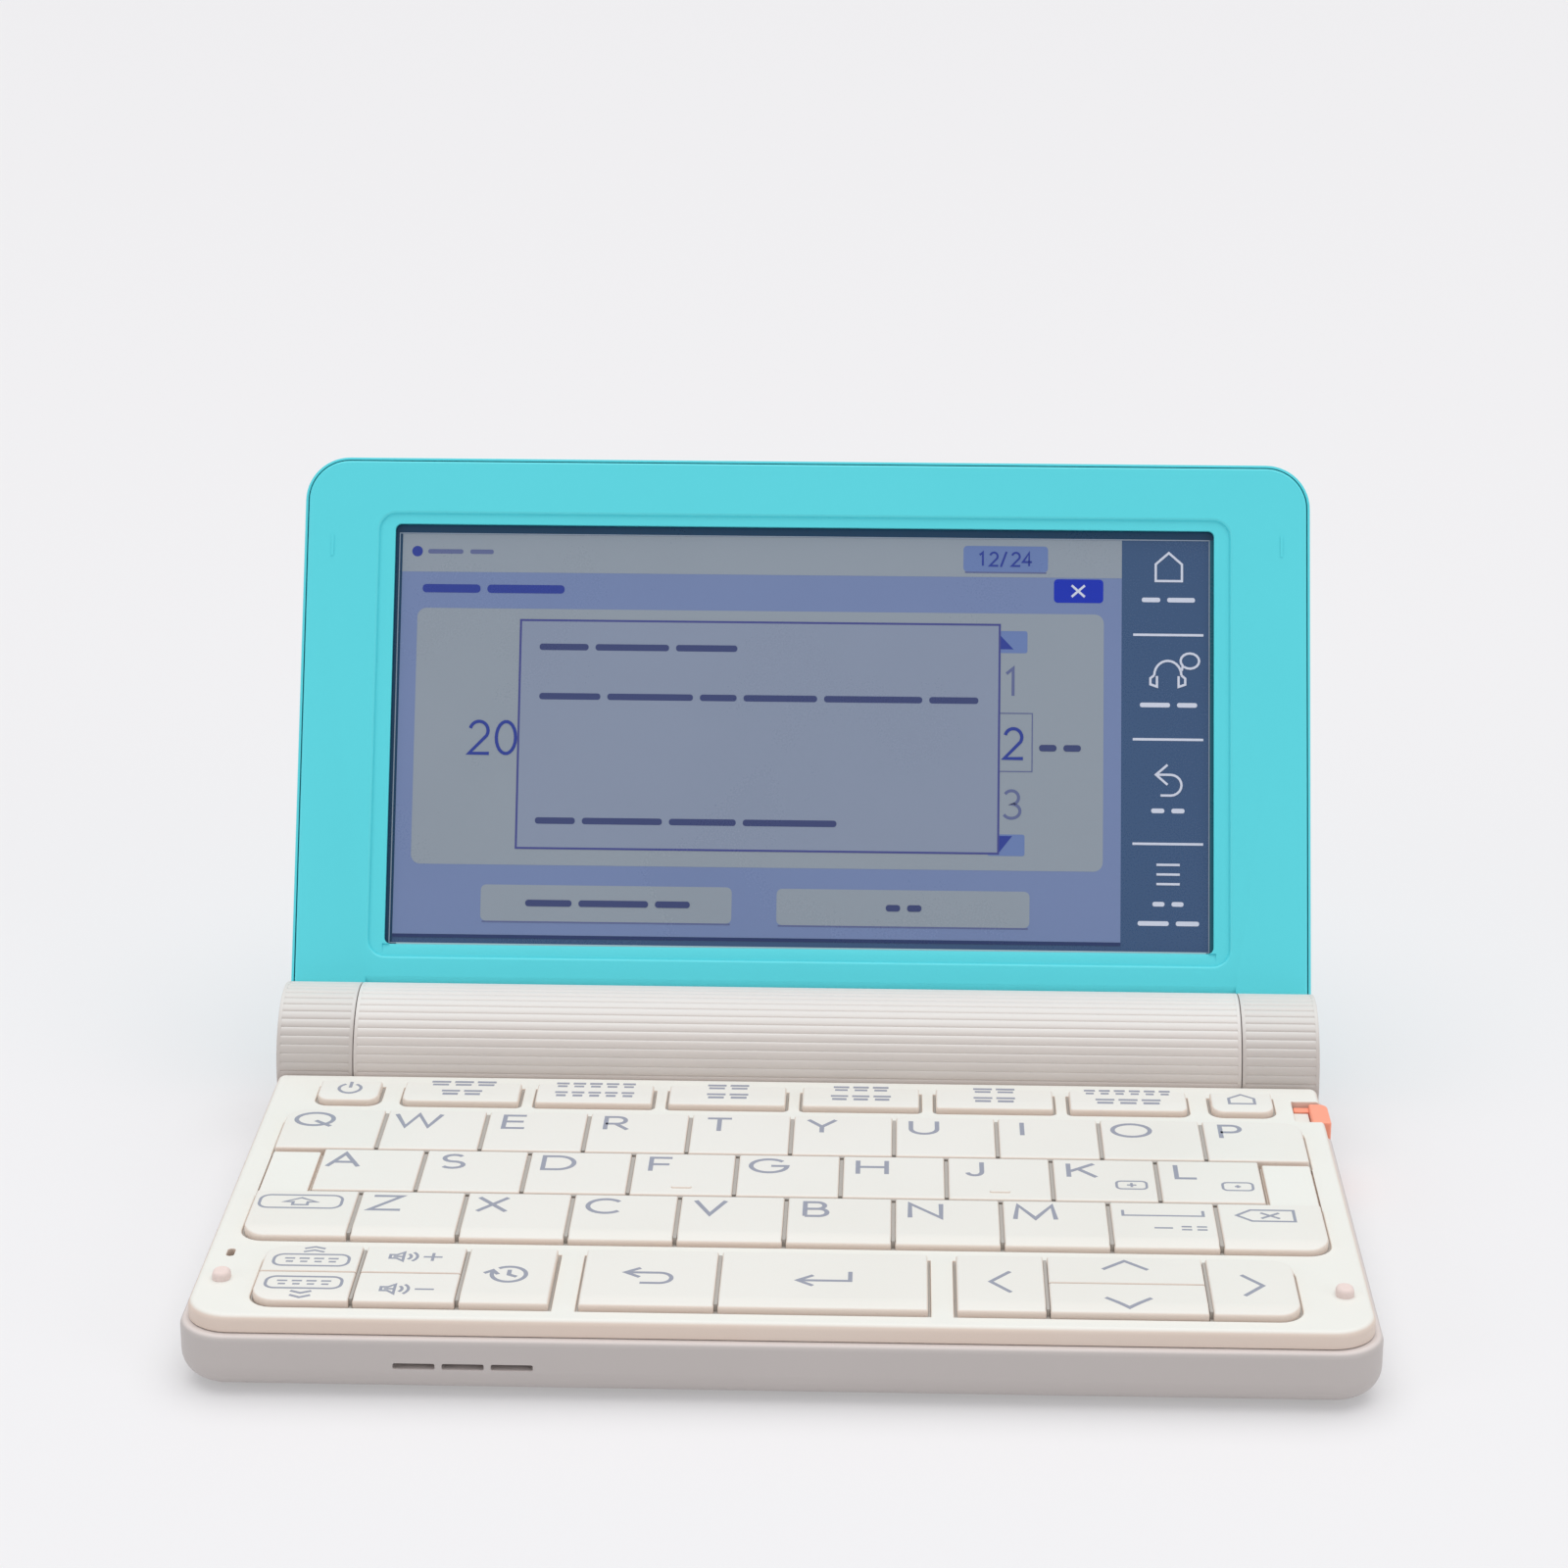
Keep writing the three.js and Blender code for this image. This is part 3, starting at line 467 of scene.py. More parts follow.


# Side colours are painted shade and light: deck, keys and barrel take darker, warmer colours on their sloping
# faces, and the case's tops are painted lighter than its walls, as light from above falls on them.
ivory = moulded("ivory_plastic", (0.805, 0.805, 0.76), (0.76, 0.745, 0.69), 0.50,
                side=(0.73, 0.605, 0.52))
key_ivory = moulded("key_plastic", (0.795, 0.78, 0.735), (0.755, 0.735, 0.67), 0.46, grains=8.0,
                    handling=0.35, side=(0.78, 0.66, 0.575))
greige = moulded("case_plastic", (0.74, 0.67, 0.645), (0.60, 0.54, 0.52), 0.42, grains=5.0,
                 side=(0.515, 0.472, 0.453))
barrel_beige = moulded("barrel_plastic", (0.78, 0.76, 0.735), (0.70, 0.66, 0.63), 0.48,
                       side=(0.665, 0.61, 0.575))
# The knuckles are the barrel's plastic; this darker copy paints the shade on the barrel's ends.
barrel_beige_in_shade = moulded("barrel_plastic_painted_shade", (0.71, 0.69, 0.665), (0.64, 0.60, 0.575), 0.48,
                        side=(0.575, 0.528, 0.497))
turquoise = moulded("turquoise_plastic", (0.104, 0.71, 0.79), (0.092, 0.66, 0.74), 0.34, grains=7.0,
                    depth=0.003)
coral = moulded("coral_plastic", (1.0, 0.36, 0.235), (0.93, 0.30, 0.19), 0.38)
blush_rubber = moulded("blush_rubber", (0.80, 0.66, 0.62), (0.70, 0.57, 0.54), 0.65)
pad_rubber = moulded("pad_rubber", (0.30, 0.29, 0.29), (0.24, 0.23, 0.23), 0.75)
# The key mat's grey rubber; the same grey on the web between the keys is painted shade for the gaps.
mat_and_gap_shade_rubber = moulded("mat_and_gap_shade_rubber", (0.42, 0.395, 0.365), (0.39, 0.365, 0.335), 0.7)
print("finishes:", len(bpy.data.materials))

# %% Floor finish: a frosted light table, whose own glow keeps the shadows pale
frosted = principled("light_table", {
    "Base Color": (0.545, 0.54, 0.555, 1), "Roughness": 0.6, "Emission Color": (1.0, 1.0, 1.0, 1),
    "Emission Strength": 0.27})[0]
floor_mesh.materials.append(frosted)

# %% [markdown]
# The lower case is a tray with full round edges below and a soft rim above, which stands a
# little proud of the deck all round; its top faces are painted lighter than its walls, a painted
# highlight. It is lofted once as a solid and once as its hollow. The rear is cut away by the
# cylinder that the knuckles turn in, and the trough and end blocks that carry the barrel are joined on.

# %% Lower case
SEAT = 0.3
CASE_WALL, CASE_FLOOR = 1.2, 1.2
CASE_CORNER, CASE_EDGE = 5.6, 3.0
RIM_TOP, RIM_EDGE, BULGE = deck_low[2] + 1.0, 0.75, 0.4
KNUCKLE_CLEAR = BARREL_RADIUS + SEAT
REAR_WALL = KNUCKLE_CLEAR + CASE_WALL
BAY_RADIUS = BARREL_RADIUS - 1.1
HATCH_FROM, HATCH_TO = 152.0, 300.0
TROUGH_FROM, TROUGH_TO = -58.0, -20.0

case_plan = rounded(-HALF_WIDTH - BULGE, HALF_WIDTH + BULGE, FRONT - BULGE, AXIS_Y,
                    (CASE_CORNER, CASE_CORNER, 0, 0), steps=16)
hollow_plan = rounded(-HALF_WIDTH + CASE_WALL, HALF_WIDTH - CASE_WALL, FRONT + CASE_WALL, AXIS_Y + OVER,
                      (CASE_CORNER - CASE_WALL, CASE_CORNER - CASE_WALL, 0, 0), steps=16)
case = make("lower_case", slab(case_plan, 0, RIM_TOP, CASE_EDGE, RIM_EDGE, steps=9))
hollow = make("hollow", slab(hollow_plan, CASE_FLOOR, RIM_TOP + OVER, CASE_EDGE - CASE_WALL, steps=5))
carve(hollow, turned([(-HALF_WIDTH - OVER, REAR_WALL), (HALF_WIDTH + OVER, REAR_WALL)]))
combine(case, hollow)
carve(case, turned([(-HALF_WIDTH - OVER, KNUCKLE_CLEAR), (HALF_WIDTH + OVER, KNUCKLE_CLEAR)]))
print("lower case:", len(case.data.polygons), "faces")

# %% Trough, end blocks and feet
trough_outer = REAR_WALL - CASE_WALL / 2
trough = round_barrel(trough_outer, TROUGH_FROM, TROUGH_TO) + round_barrel(BAY_RADIUS, TROUGH_TO, TROUGH_FROM)
add(case, beam(trough[::-1], -BARREL_HALF, BARREL_HALF))
RIB_DEPTH = 0.15
block_outline = round_barrel(BARREL_RADIUS - RIB_DEPTH, HATCH_FROM, 360 + TROUGH_TO)
block_outline += round_barrel(BAY_RADIUS - SEAT, 360 + TROUGH_TO, 360 + HATCH_FROM)
HATCH_GAP_HALF = HATCH_HALF + SEAT
REAR_FOOT_HALF, REAR_FOOT_TOP = 3.0, 0.7
rear_feet = []
for side in (-1, 1):
    ends = pair(side, HATCH_GAP_HALF, BARREL_HALF)
    add(case, beam(block_outline[::-1], *ends))
    rear_feet.append(block(*ends, AXIS_Y - REAR_FOOT_HALF, AXIS_Y + REAR_FOOT_HALF, case_low[2],
                           REAR_FOOT_TOP))
add(case, together(*rear_feet))
print("with trough and blocks:", len(case.data.polygons), "faces")

# %% [markdown]
# The front wall has three sound slots, the right wall an opening for the stylus cap. The cutters
# are small lofts with rounded ends, because a punched slot never has a sharp corner.

# %% Slots and the stylus opening
pen_low, pen_high = span("stylus")
CAP_LENGTH = 4.1
cap_left, cap_right = pen_high[0] - CAP_LENGTH, pen_high[0] + BULGE
CAP_STEP, TAB_FRONT = pen_low[2] + 3.2, pen_low[1] + 4.1
SLOT_LENGTH, SLOT_SPACE, SLOT_HEIGHT, SLOT_CORNER = 4.6, 0.75, 0.72, 0.2
SLOT_Z, SLOT_START = 3.4, 23.6


def across_front(outline, y0, y1):
    """A prism along Y of an outline in (x, z)."""
    return loft([[(x, y, z) for x, z in reversed(outline)] for y in (y0, y1)])


slots = []
for i in range(3):
    left = -HALF_WIDTH + SLOT_START + i * (SLOT_LENGTH + SLOT_SPACE)
    mouth = rounded(left, left + SLOT_LENGTH, SLOT_Z - SLOT_HEIGHT / 2, SLOT_Z + SLOT_HEIGHT / 2,
                    (SLOT_CORNER,) * 4, 4)
    slots.append(across_front(mouth(), FRONT - OVER, FRONT + CASE_EDGE + CASE_WALL))
carve(case, together(*slots))
for wall_from, wall_to in ((pen_low[1], CAP_STEP + SEAT), (TAB_FRONT, deck_high[2])):
    carve(case, block(cap_left - SEAT, HALF_WIDTH + OVER, wall_from - SEAT, pen_high[1] + SEAT,
                      CASE_FLOOR, wall_to))
SCREW_SPREAD, SCREW_DEPTH, SCREW_FRONT = 118.0, 42.5, -36.5
SCREW_HOLE, SCREW_SUNK = 2.2, 0.85
PLATE_MIDDLE_Y, PLATE_HALF_X, PLATE_HALF_Y, PLATE_CORNER, PLATE_SUNK = -15.0, 24.0, 9.0, 1.5, 0.15
holes = [slab(centred(x * SCREW_SPREAD / 2, SCREW_FRONT + row * SCREW_DEPTH, SCREW_HOLE, SCREW_HOLE,
                      SCREW_HOLE - HAIR, 8), -OVER, SCREW_SUNK) for x in (-1, 0, 1) for row in (0, 1)]
bare_plate = centred(0.0, PLATE_MIDDLE_Y, PLATE_HALF_X, PLATE_HALF_Y, PLATE_CORNER, 6)
carve(case, together(*holes, slab(bare_plate, -OVER, PLATE_SUNK)))
dress(case, greige, "base", ["base_case"])
print("lower case done:", len(case.data.polygons), "faces")

# %% Rubber feet under the front
FOOT_LENGTH, FOOT_DEPTH, FOOT_INSET, FOOT_EDGE = 10.0, 2.5, 5.0, 0.3
foot_outer, foot_front = HALF_WIDTH - CASE_CORNER - FOOT_INSET, FRONT + CASE_EDGE + FOOT_INSET
for side, name in SIDES:
    pad = rounded(*pair(side, foot_outer, foot_outer - FOOT_LENGTH), foot_front, foot_front + FOOT_DEPTH,
                  (FOOT_DEPTH / 2 - HAIR,) * 4)
    foot = make(f"foot_{name}", slab(pad, case_low[2], FOOT_EDGE, FOOT_EDGE))
    dress(foot, pad_rubber, "base")

# %% [markdown]
# The keyboard deck is a shallow lid over the tray. Its windows are cut with flared cutters, so the
# rim of each window is rounded by the cut itself. The sizes of the windows come from the keys that
# stand in them, plus the running gap.

# %% Keyboard deck
KEY_GAP = 0.45
RIM_FLARE = 0.22
BUMPER_RISE, PLATE = 1.0, 1.2
DECK_TOP = deck_high[2] - BUMPER_RISE
PLATE_BOTTOM = DECK_TOP - PLATE
KEY_CORNER, TOP_CORNER, SOFT, TIGHT, LEAST_CORNER = 2.5, 1.5, 1.0, 0.4, 0.25
DECK_CORNER, DECK_EDGE, DECK_WALL = CASE_CORNER - 0.5, 0.75, 1.2
SEAM = 0.14
SKIRT_BOTTOM = RIM_TOP + SEAM


def deck_plan(inset, rear_inset=None, rear_corner=0.0, steps=ARC_STEPS):
    """The deck's outline, set in at the sides and the front, and by another measure at the rear."""
    corner, rear = DECK_CORNER - inset, inset if rear_inset is None else rear_inset
    return rounded(deck_low[0] + inset, deck_high[0] - inset, deck_low[1] + inset, deck_high[1] - rear,
                   (corner, corner, rear_corner, rear_corner), steps)


deck_outer = deck_plan(0.0, rear_corner=SOFT, steps=14)
deck = make("deck", slab(deck_outer, SKIRT_BOTTOM, DECK_TOP, 0.0, DECK_EDGE, steps=8))
carve(deck, slab(deck_plan(DECK_WALL), SKIRT_BOTTOM - OVER, PLATE_BOTTOM))

TOP_KEYS = ["key_power"] + [f"key_category_{i}" for i in range(1, 7)] + ["key_home"]
LETTER_ROWS = [[f"key_{letter}" for letter in "qwertyuiop"], [f"key_{letter}" for letter in "asdfghjkl"],
               ["key_shift"] + [f"key_{letter}" for letter in "zxcvbnm"] + ["key_space", "key_delete"]]
BOTTOM_GROUPS = [["key_heading", "key_volume", "key_history"], ["key_back", "key_enter"],
                 ["key_left", "key_up_down", "key_right"]]
CORNERS = {
    "key_q": (0, 0, 0, KEY_CORNER), "key_p": (0, 0, KEY_CORNER, 0), "key_shift": (KEY_CORNER, 0, 0, 0),
    "key_delete": (0, KEY_CORNER, 0, 0), "key_heading": (KEY_CORNER, 0, 0, KEY_CORNER),
    "key_right": (0, KEY_CORNER, KEY_CORNER, 0),
}
CORNERS.update({name: (TIGHT, TIGHT, 0, 0) for name in TOP_KEYS})
CORNERS.update({"key_power": (TOP_CORNER, TOP_CORNER, 0, 0), "key_home": (TOP_CORNER, TOP_CORNER, 0, 0),
                "key_category_1": (SOFT, TIGHT, 0, 0), "key_category_6": (TIGHT, SOFT, 0, 0)})


def window_over(names):
    first_low, last_high = span(names[0])[0], span(names[-1])[1]
    a, b = CORNERS.get(names[0], (0,) * 4), CORNERS.get(names[-1], (0,) * 4)
    radii = [r + SEAT if r else 0 for r in (a[0], b[1], b[2], a[3])]
    return rounded(first_low[0] - SEAT, last_high[0] + SEAT, first_low[1] - SEAT, last_high[1] + SEAT,
                   radii, 6)


for row in LETTER_ROWS:
    carve(deck, flared_cutter(window_over(row), PLATE_BOTTOM - OVER, DECK_TOP, RIM_FLARE))
carve(deck, together(*[flared_cutter(window_over(group), PLATE_BOTTOM - OVER, DECK_TOP, RIM_FLARE)
                       for group in BOTTOM_GROUPS + [[name] for name in TOP_KEYS]]))
print("deck with windows:", len(deck.data.polygons), "faces")

# %% [markdown]
# Beside the A row the letter block is filled by two fixed blanks, as tall as half a key. They are
# part of the deck moulding, parted from the frame by a fine groove that goes on with the outline
# of the letter block.

# %% Blanks, microphone hole and stylus notch
BLANK_RISE, BLANK_ROOT, BLANK_CORNER, BLANK_EDGE, GROOVE_DEPTH = 0.5, 0.4, 0.3, 0.22, 0.7
a_low, a_high = span("key_a")
l_high = span("key_l")[1]
q_low, p_high = span("key_q")[0], span("key_p")[1]
blanks, grooves = [], []
for x_in, x_out in ((a_low[0] - KEY_GAP, q_low[0]), (l_high[0] + KEY_GAP, p_high[0])):
    side = math.copysign(1, x_out)
    blank = rounded(*sorted((x_in, x_out)), a_low[1], a_high[1], (BLANK_CORNER,) * 4, 4)
    blanks.append(slab(blank, DECK_TOP - BLANK_ROOT, DECK_TOP + BLANK_RISE, 0.0, BLANK_EDGE, steps=4))
    grooves.append(block(*sorted((x_out, x_out + side * SEAT)), a_low[1] - KEY_GAP, a_high[1] + KEY_GAP,
                         DECK_TOP - GROOVE_DEPTH, DECK_TOP + OVER))
add(deck, together(*blanks))
carve(deck, together(*grooves))

BUMPER_X, BUMPER_Y = HALF_WIDTH - 3.4, FRONT + 10.0
MIC_X, MIC_Y = -(HALF_WIDTH - 3.3), BUMPER_Y + 6.6
MIC_HALF_X, MIC_HALF_Y, MIC_CORNER, MIC_FLARE = 0.42, 0.95, 0.4, 0.15
mic_hole = centred(MIC_X, MIC_Y, MIC_HALF_X, MIC_HALF_Y, MIC_CORNER, 5)
carve(deck, flared_cutter(mic_hole, PLATE_BOTTOM - OVER, DECK_TOP, MIC_FLARE))
NOTCH_IN, NOTCH_FRONT, NOTCH_REAR = 61.4, 14.75, 20.95
LEDGE_OUT, LEDGE_SUNK, NOTCH_CORNER, NOTCH_FLARE = 63.35, 0.9, 0.5, 0.18
notch = rounded(NOTCH_IN, HALF_WIDTH + OVER, NOTCH_FRONT, NOTCH_REAR, (NOTCH_CORNER, 0, 0, NOTCH_CORNER), 5)
carve(deck, flared_cutter(notch, DECK_TOP - LEDGE_SUNK, DECK_TOP, NOTCH_FLARE))
carve(deck, block(LEDGE_OUT, HALF_WIDTH + OVER, NOTCH_FRONT, NOTCH_REAR, PLATE_BOTTOM - OVER, DECK_TOP))
ARM_DEPTH, ARM_ROOM = 1.5, 0.2
carve(deck, block(NOTCH_IN, HALF_WIDTH + OVER, NOTCH_REAR - ARM_DEPTH - ARM_ROOM, NOTCH_REAR,
                  PLATE_BOTTOM - OVER, DECK_TOP))
TONGUE_OUT, TONGUE_IN, TONGUE_REAR, TONGUE_JOIN = 1.0, 1.8, 2.4, 0.6
tongue = make("tongue", slab(deck_plan(TONGUE_OUT, TONGUE_REAR), deck_low[2], PLATE_BOTTOM + TONGUE_JOIN))
carve(tongue, slab(deck_plan(TONGUE_IN, 0.0), deck_low[2] - OVER, PLATE_BOTTOM + OVER))
carve(tongue, block(cap_left - SEAT, HALF_WIDTH, pen_low[1] - SEAT, pen_high[1] + SEAT, 0, DECK_TOP))
combine(deck, tongue, "UNION")
dress(deck, ivory, "base", ["keyboard_deck"])
print("deck done:", len(deck.data.polygons), "faces")

# %% Bumper pins for the closed lid
BUMPER_HALF_X, BUMPER_HALF_Y, BUMPER_CORNER, BUMPER_EDGE, BUMPER_ROOT = 1.0, 1.2, 0.95, 0.5, 0.5
for side, name in SIDES:
    pin_plan = centred(side * BUMPER_X, BUMPER_Y, BUMPER_HALF_X, BUMPER_HALF_Y, BUMPER_CORNER, 8)
    pin = slab(pin_plan, DECK_TOP - BUMPER_ROOT, DECK_TOP + BUMPER_RISE, 0.0, BUMPER_EDGE, 6)
    dress(make(f"bumper_{name}", pin), blush_rubber, "base")

# %% [markdown]
# A key is one closed skin: a square stem, a step out to the cap, straight sides, and a soft top
# edge. All 45 share one recipe. Their outlines are their own, read from the frame, so rows, gaps
# and rounded block corners need no second list. The front of each top falls away a little; how
# much is a trait of the row: hardly at all in the upper letter rows, most in the lowest one.

# %% Keys
CAP_HEIGHT, KEY_EDGE, DRAFT = 1.7, 0.3, 0.01
STEM, STEM_CORNER = 1.6, 0.3
SLOPE_LENGTH, SLOPE_DROP, SLOPE_BEND, SLOPE_STEPS = 2.3, 0.26, 1.6, 5
ROW_DROPS = (0.05, 0.05, 0.4)
DROPS = {name: drop for row, drop in zip(LETTER_ROWS, ROW_DROPS) for name in row}
ALL_KEYS = TOP_KEYS + sum(LETTER_ROWS, []) + sum(BOTTOM_GROUPS, [])
ROCKERS = ("key_heading", "key_volume", "key_up_down")
CAP_TOP = span("key_space")[1][2]


def key_plan(name, swing=0.0):
    low, high = span(name)
    radii = [r if r else LEAST_CORNER for r in CORNERS.get(name, (0,) * 4)]
    return rounded(low[0], high[0], low[1] - swing, high[1] + swing, radii, 6)


def key_solid(name):
    plan, cap_bottom = key_plan(name), CAP_TOP - CAP_HEIGHT
    stem = centred(*middle(name), STEM, STEM, STEM_CORNER, 6)
    rings = [[(x, y, z) for x, y in stem()] for z in (span(name)[0][2], cap_bottom)]
    rings.append([(x, y, cap_bottom) for x, y in plan(-DRAFT)])
    rings += [[(x, y, z) for x, y in plan(inset)]
              for inset, z in levels(cap_bottom + CAP_HEIGHT / 2, CAP_TOP, 0.0, KEY_EDGE, 5)]
    return loft(rings)


def slope_front(ob, name):
    """Lets the front of a key's top fall away gently, where a finger slides on to it."""
    front, drop = span(name)[0][1], DROPS.get(name, SLOPE_DROP)
    form = bmesh.new()
    form.from_mesh(ob.data)
    for i in range(SLOPE_STEPS):
        cut_at = Vector((0, front + SLOPE_LENGTH * (1 - i / SLOPE_STEPS), 0)) * MM
        everything = form.verts[:] + form.edges[:] + form.faces[:]
        bmesh.ops.bisect_plane(form, geom=everything, plane_co=cut_at, plane_no=(0, 1, 0))
    for vertex in form.verts:
        depth = 1 - (vertex.co.y / MM - front) / SLOPE_LENGTH
        if depth > 0 and vertex.co.z / MM > CAP_TOP - KEY_EDGE - HAIR:
            vertex.co.z -= drop * depth ** SLOPE_BEND * MM
    form.to_mesh(ob.data)
    form.free()


# the groove of a rocker, as shares of its half width and heights over the top; the bar of f and j
VEE_HALF, VEE = 0.2, ((1, OVER), (1, 0.0), (0.6, -0.1), (0.4, -0.7))
HOME_HALF, HOME_FRONT, HOME_REAR, HOME_CORNER, HOME_RISE, HOME_EDGE = 1.2, 1.6, 2.1, 0.24, 0.2, 0.18
for name in ALL_KEYS:
    low, high = span(name)
    x, y = middle(name)
    key = make(name.replace("key_", "cap_"), key_solid(name))
    if name in ROCKERS:
        vee = [(y - share * VEE_HALF, CAP_TOP + z) for share, z in VEE]
        vee += [(y + share * VEE_HALF, CAP_TOP + z) for share, z in reversed(VEE)]
        carve(key, beam(vee, low[0] - OVER, high[0] + OVER))
    if name in ("key_f", "key_j"):
        bar = rounded(x - HOME_HALF, x + HOME_HALF, low[1] + HOME_FRONT, low[1] + HOME_REAR,
                      (HOME_CORNER,) * 4, 5)
        add(key, slab(bar, CAP_TOP - 2 * HOME_RISE, CAP_TOP + HOME_RISE, 0.0, HOME_EDGE, 4))
    slope_front(key, name)
    dress(key, key_ivory, name, [name])
print("keys:", len(ALL_KEYS))

# %% [markdown]
# Between the keys the eye doesn't fall into a dark pit: a grey rubber web stands up from the key mat,
# and its grey stands in for the shade in the gaps, a painted shade. It is cut with the keys' own outlines,
# grown by a clearance, and its walls end a little under the tops of the keys, which sink between them when
# pressed.

# %% Key web
WEB_LOW, WEB_HIGH = DECK_TOP - 0.2, CAP_TOP - 0.25
WEB_CLEAR, ROCKER_CLEAR, WEB_SET_BACK, ROCKER_SWING = 0.02, 0.06, 0.6, 0.07
WEB_FOOT = span("key_mat")[1][2]


def web_floor(names):
    mouth = window_over(names)
    return slab(lambda inset: mouth(inset + HAIR), WEB_FOOT, WEB_LOW)


def web_wall(names):
    mouth = window_over(names)
    return slab(lambda inset: mouth(inset + SEAT + WEB_SET_BACK), WEB_LOW - HAIR, WEB_HIGH)


def wall_between(rear_row, front_row):
    """The web's wall under the gap between two rows of keys, whose grey paints the shade of that gap."""
    left = max(span(row[0])[0][0] for row in (rear_row, front_row))
    right = min(span(row[-1])[1][0] for row in (rear_row, front_row))
    return block(left, right, span(front_row[0])[1][1] - HAIR, span(rear_row[0])[0][1] + HAIR,
                 WEB_LOW - HAIR, WEB_HIGH)


def key_room(name):
    """The space that a key takes in the web; a rocker also needs some for its swing, front and rear."""
    plan, clear = key_plan(name), WEB_CLEAR
    if name in ROCKERS:
        plan, clear = key_plan(name, ROCKER_SWING), ROCKER_CLEAR
    return slab(lambda inset: plan(inset - clear), WEB_FOOT - OVER, CAP_TOP)


web = make("key_web", web_floor(LETTER_ROWS[0]))
for row in LETTER_ROWS[1:]:
    add(web, web_floor(row))
add(web, together(*[web_floor(group) for group in BOTTOM_GROUPS + [[name] for name in TOP_KEYS]]))
add(web, together(*[web_wall(group) for group in LETTER_ROWS + BOTTOM_GROUPS]))
add(web, together(*[wall_between(*rows) for rows in zip(LETTER_ROWS, LETTER_ROWS[1:])]))
carve(web, together(*[key_room(name) for name in ALL_KEYS]))
dress(web, mat_and_gap_shade_rubber, "base")
print("key web:", len(web.data.polygons), "faces")

# %% [markdown]
# The barrel is the hinge and the battery case in one. Its skin is a smooth core with a plain collar
# at each end; the ribs are laid on it afterwards by Geometry Nodes, so that their number, width and
# depth are inputs and not drawn by hand.

# %% Barrel cores
CORE_RADIUS = BARREL_RADIUS - RIB_DEPTH
COLLAR, EDGE, EDGE_BEND, CLOSER = 0.45, 0.09, 0.3, 0.1
END = BARREL_HALF + CLOSER


def collared(x0, x1):
    """Stations of a core with a rounded collar at both ends."""
    rim = ((0.0, BARREL_RADIUS - EDGE), (EDGE * EDGE_BEND, BARREL_RADIUS - EDGE * EDGE_BEND),
           (EDGE, BARREL_RADIUS), (COLLAR, BARREL_RADIUS), (COLLAR, CORE_RADIUS))
    return [(x0 + deep, radius) for deep, radius in rim] + [(x1 - deep, radius) for deep, radius in rim[::-1]]


def shell(start, end, x0, x1):
    """A part of the barrel's wall between two angles."""
    steps = round((end - start) / 3)
    rings = []
    for x, radius in collared(x0, x1):
        outline = round_barrel(radius, start, end, steps) + round_barrel(BAY_RADIUS, end, start, steps)
        rings.append([(x, y, z) for y, z in outline[::-1]])
    return loft(rings)


COVER_FROM, COVER_TO = -18.0, 150.0
cover = make("barrel_front", shell(COVER_FROM, COVER_TO, -END, END))
dress(cover, barrel_beige, "base", ["barrel_cover"])
hatch = make("battery_door", shell(HATCH_FROM, HATCH_TO, -HATCH_HALF, HATCH_HALF))
dress(hatch, barrel_beige, "battery_cover", ["battery_cover"])

# %% Knuckles, which turn with the lid
LID_WALL = 1.2
ARM_INSET, ARM_END, ARM_THICK = 1.5, 2.7, 2.9
TRUNNION, TRUNNION_RADIUS, CABLE_RADIUS, PIN_BORE, BORE_END = 2.6, 3.0, 1.6, 2.3, 1.9
CAP_RADIUS, CAP_SUNK = 6.6, 0.3
# the round cap in a knuckle's end, as stations of depth from the end and of radius less than its seat
CAP_STATIONS = ((0.6, 0.25), (0.2, 0.25), (0.1, 0.45))
arm_low = span("knuckle_left", to_lid)[0]
lid_arm_top = span("lid_back_cover", to_lid)[1][2] - LID_WALL - SEAT
for side, name in SIDES:
    x0, x1 = pair(side, KNUCKLE_OUT, KNUCKLE_IN - CLOSER)
    knuckle = make(f"hinge_knuckle_{name}", turned(collared(x0, x1), sides=120))
    arm = block(*pair(side, KNUCKLE_IN + ARM_INSET, KNUCKLE_OUT - ARM_END), arm_low[1],
                -BARREL_RADIUS / 2, lid_arm_top - ARM_THICK, lid_arm_top)
    add(knuckle, arm, to_lid)
    carve(knuckle, turned([(x, CAP_RADIUS) for x in pair(side, KNUCKLE_OUT - CAP_SUNK, KNUCKLE_OUT + OVER)]))
    cap = sorted((side * (KNUCKLE_OUT - deep), CAP_RADIUS - less) for deep, less in CAP_STATIONS)
    add(knuckle, turned(cap))
    if side > 0:
        tip = KNUCKLE_IN - TRUNNION
        add(knuckle, turned([(tip, TRUNNION_RADIUS), (x0 + OVER, TRUNNION_RADIUS)], sides=48))
        carve(knuckle, turned([(tip - OVER, CABLE_RADIUS), (KNUCKLE_OUT - BORE_END, CABLE_RADIUS)], sides=48))
    else:
        carve(knuckle, turned([(x0 + BORE_END, PIN_BORE), (x1 + OVER, PIN_BORE)], sides=48))
    dress(knuckle, barrel_beige_in_shade, "lid", [f"knuckle_{name}"])

# %% Geometry Nodes: ribs laid round a barrel
def growing_tree(name, inputs):
    """A Geometry Nodes tree with named inputs, of which the last is always its finish."""
    return group_tree(name, "GeometryNodeTree", (("Geometry", "Geometry"), *inputs, ("Finish", "Material")),
                      (("Geometry", "Geometry"),))


def set_copies(tree, start, end, points, instance):
    """Sets a copy on every point, makes the copies real, gives them the finish and hands them out."""
    copies = node(tree, "GeometryNodeInstanceOnPoints")
    realize = node(tree, "GeometryNodeRealizeInstances")
    finish = node(tree, "GeometryNodeSetMaterial")
    wire(tree,
         (points, copies.inputs["Points"]), (instance, copies.inputs["Instance"]),
         (copies.outputs["Instances"], realize.inputs["Geometry"]),
         (realize.outputs["Geometry"], finish.inputs["Geometry"]),
         (start.outputs["Finish"], finish.inputs["Material"]),
         (finish.outputs["Geometry"], end.inputs["Geometry"]))
    return copies


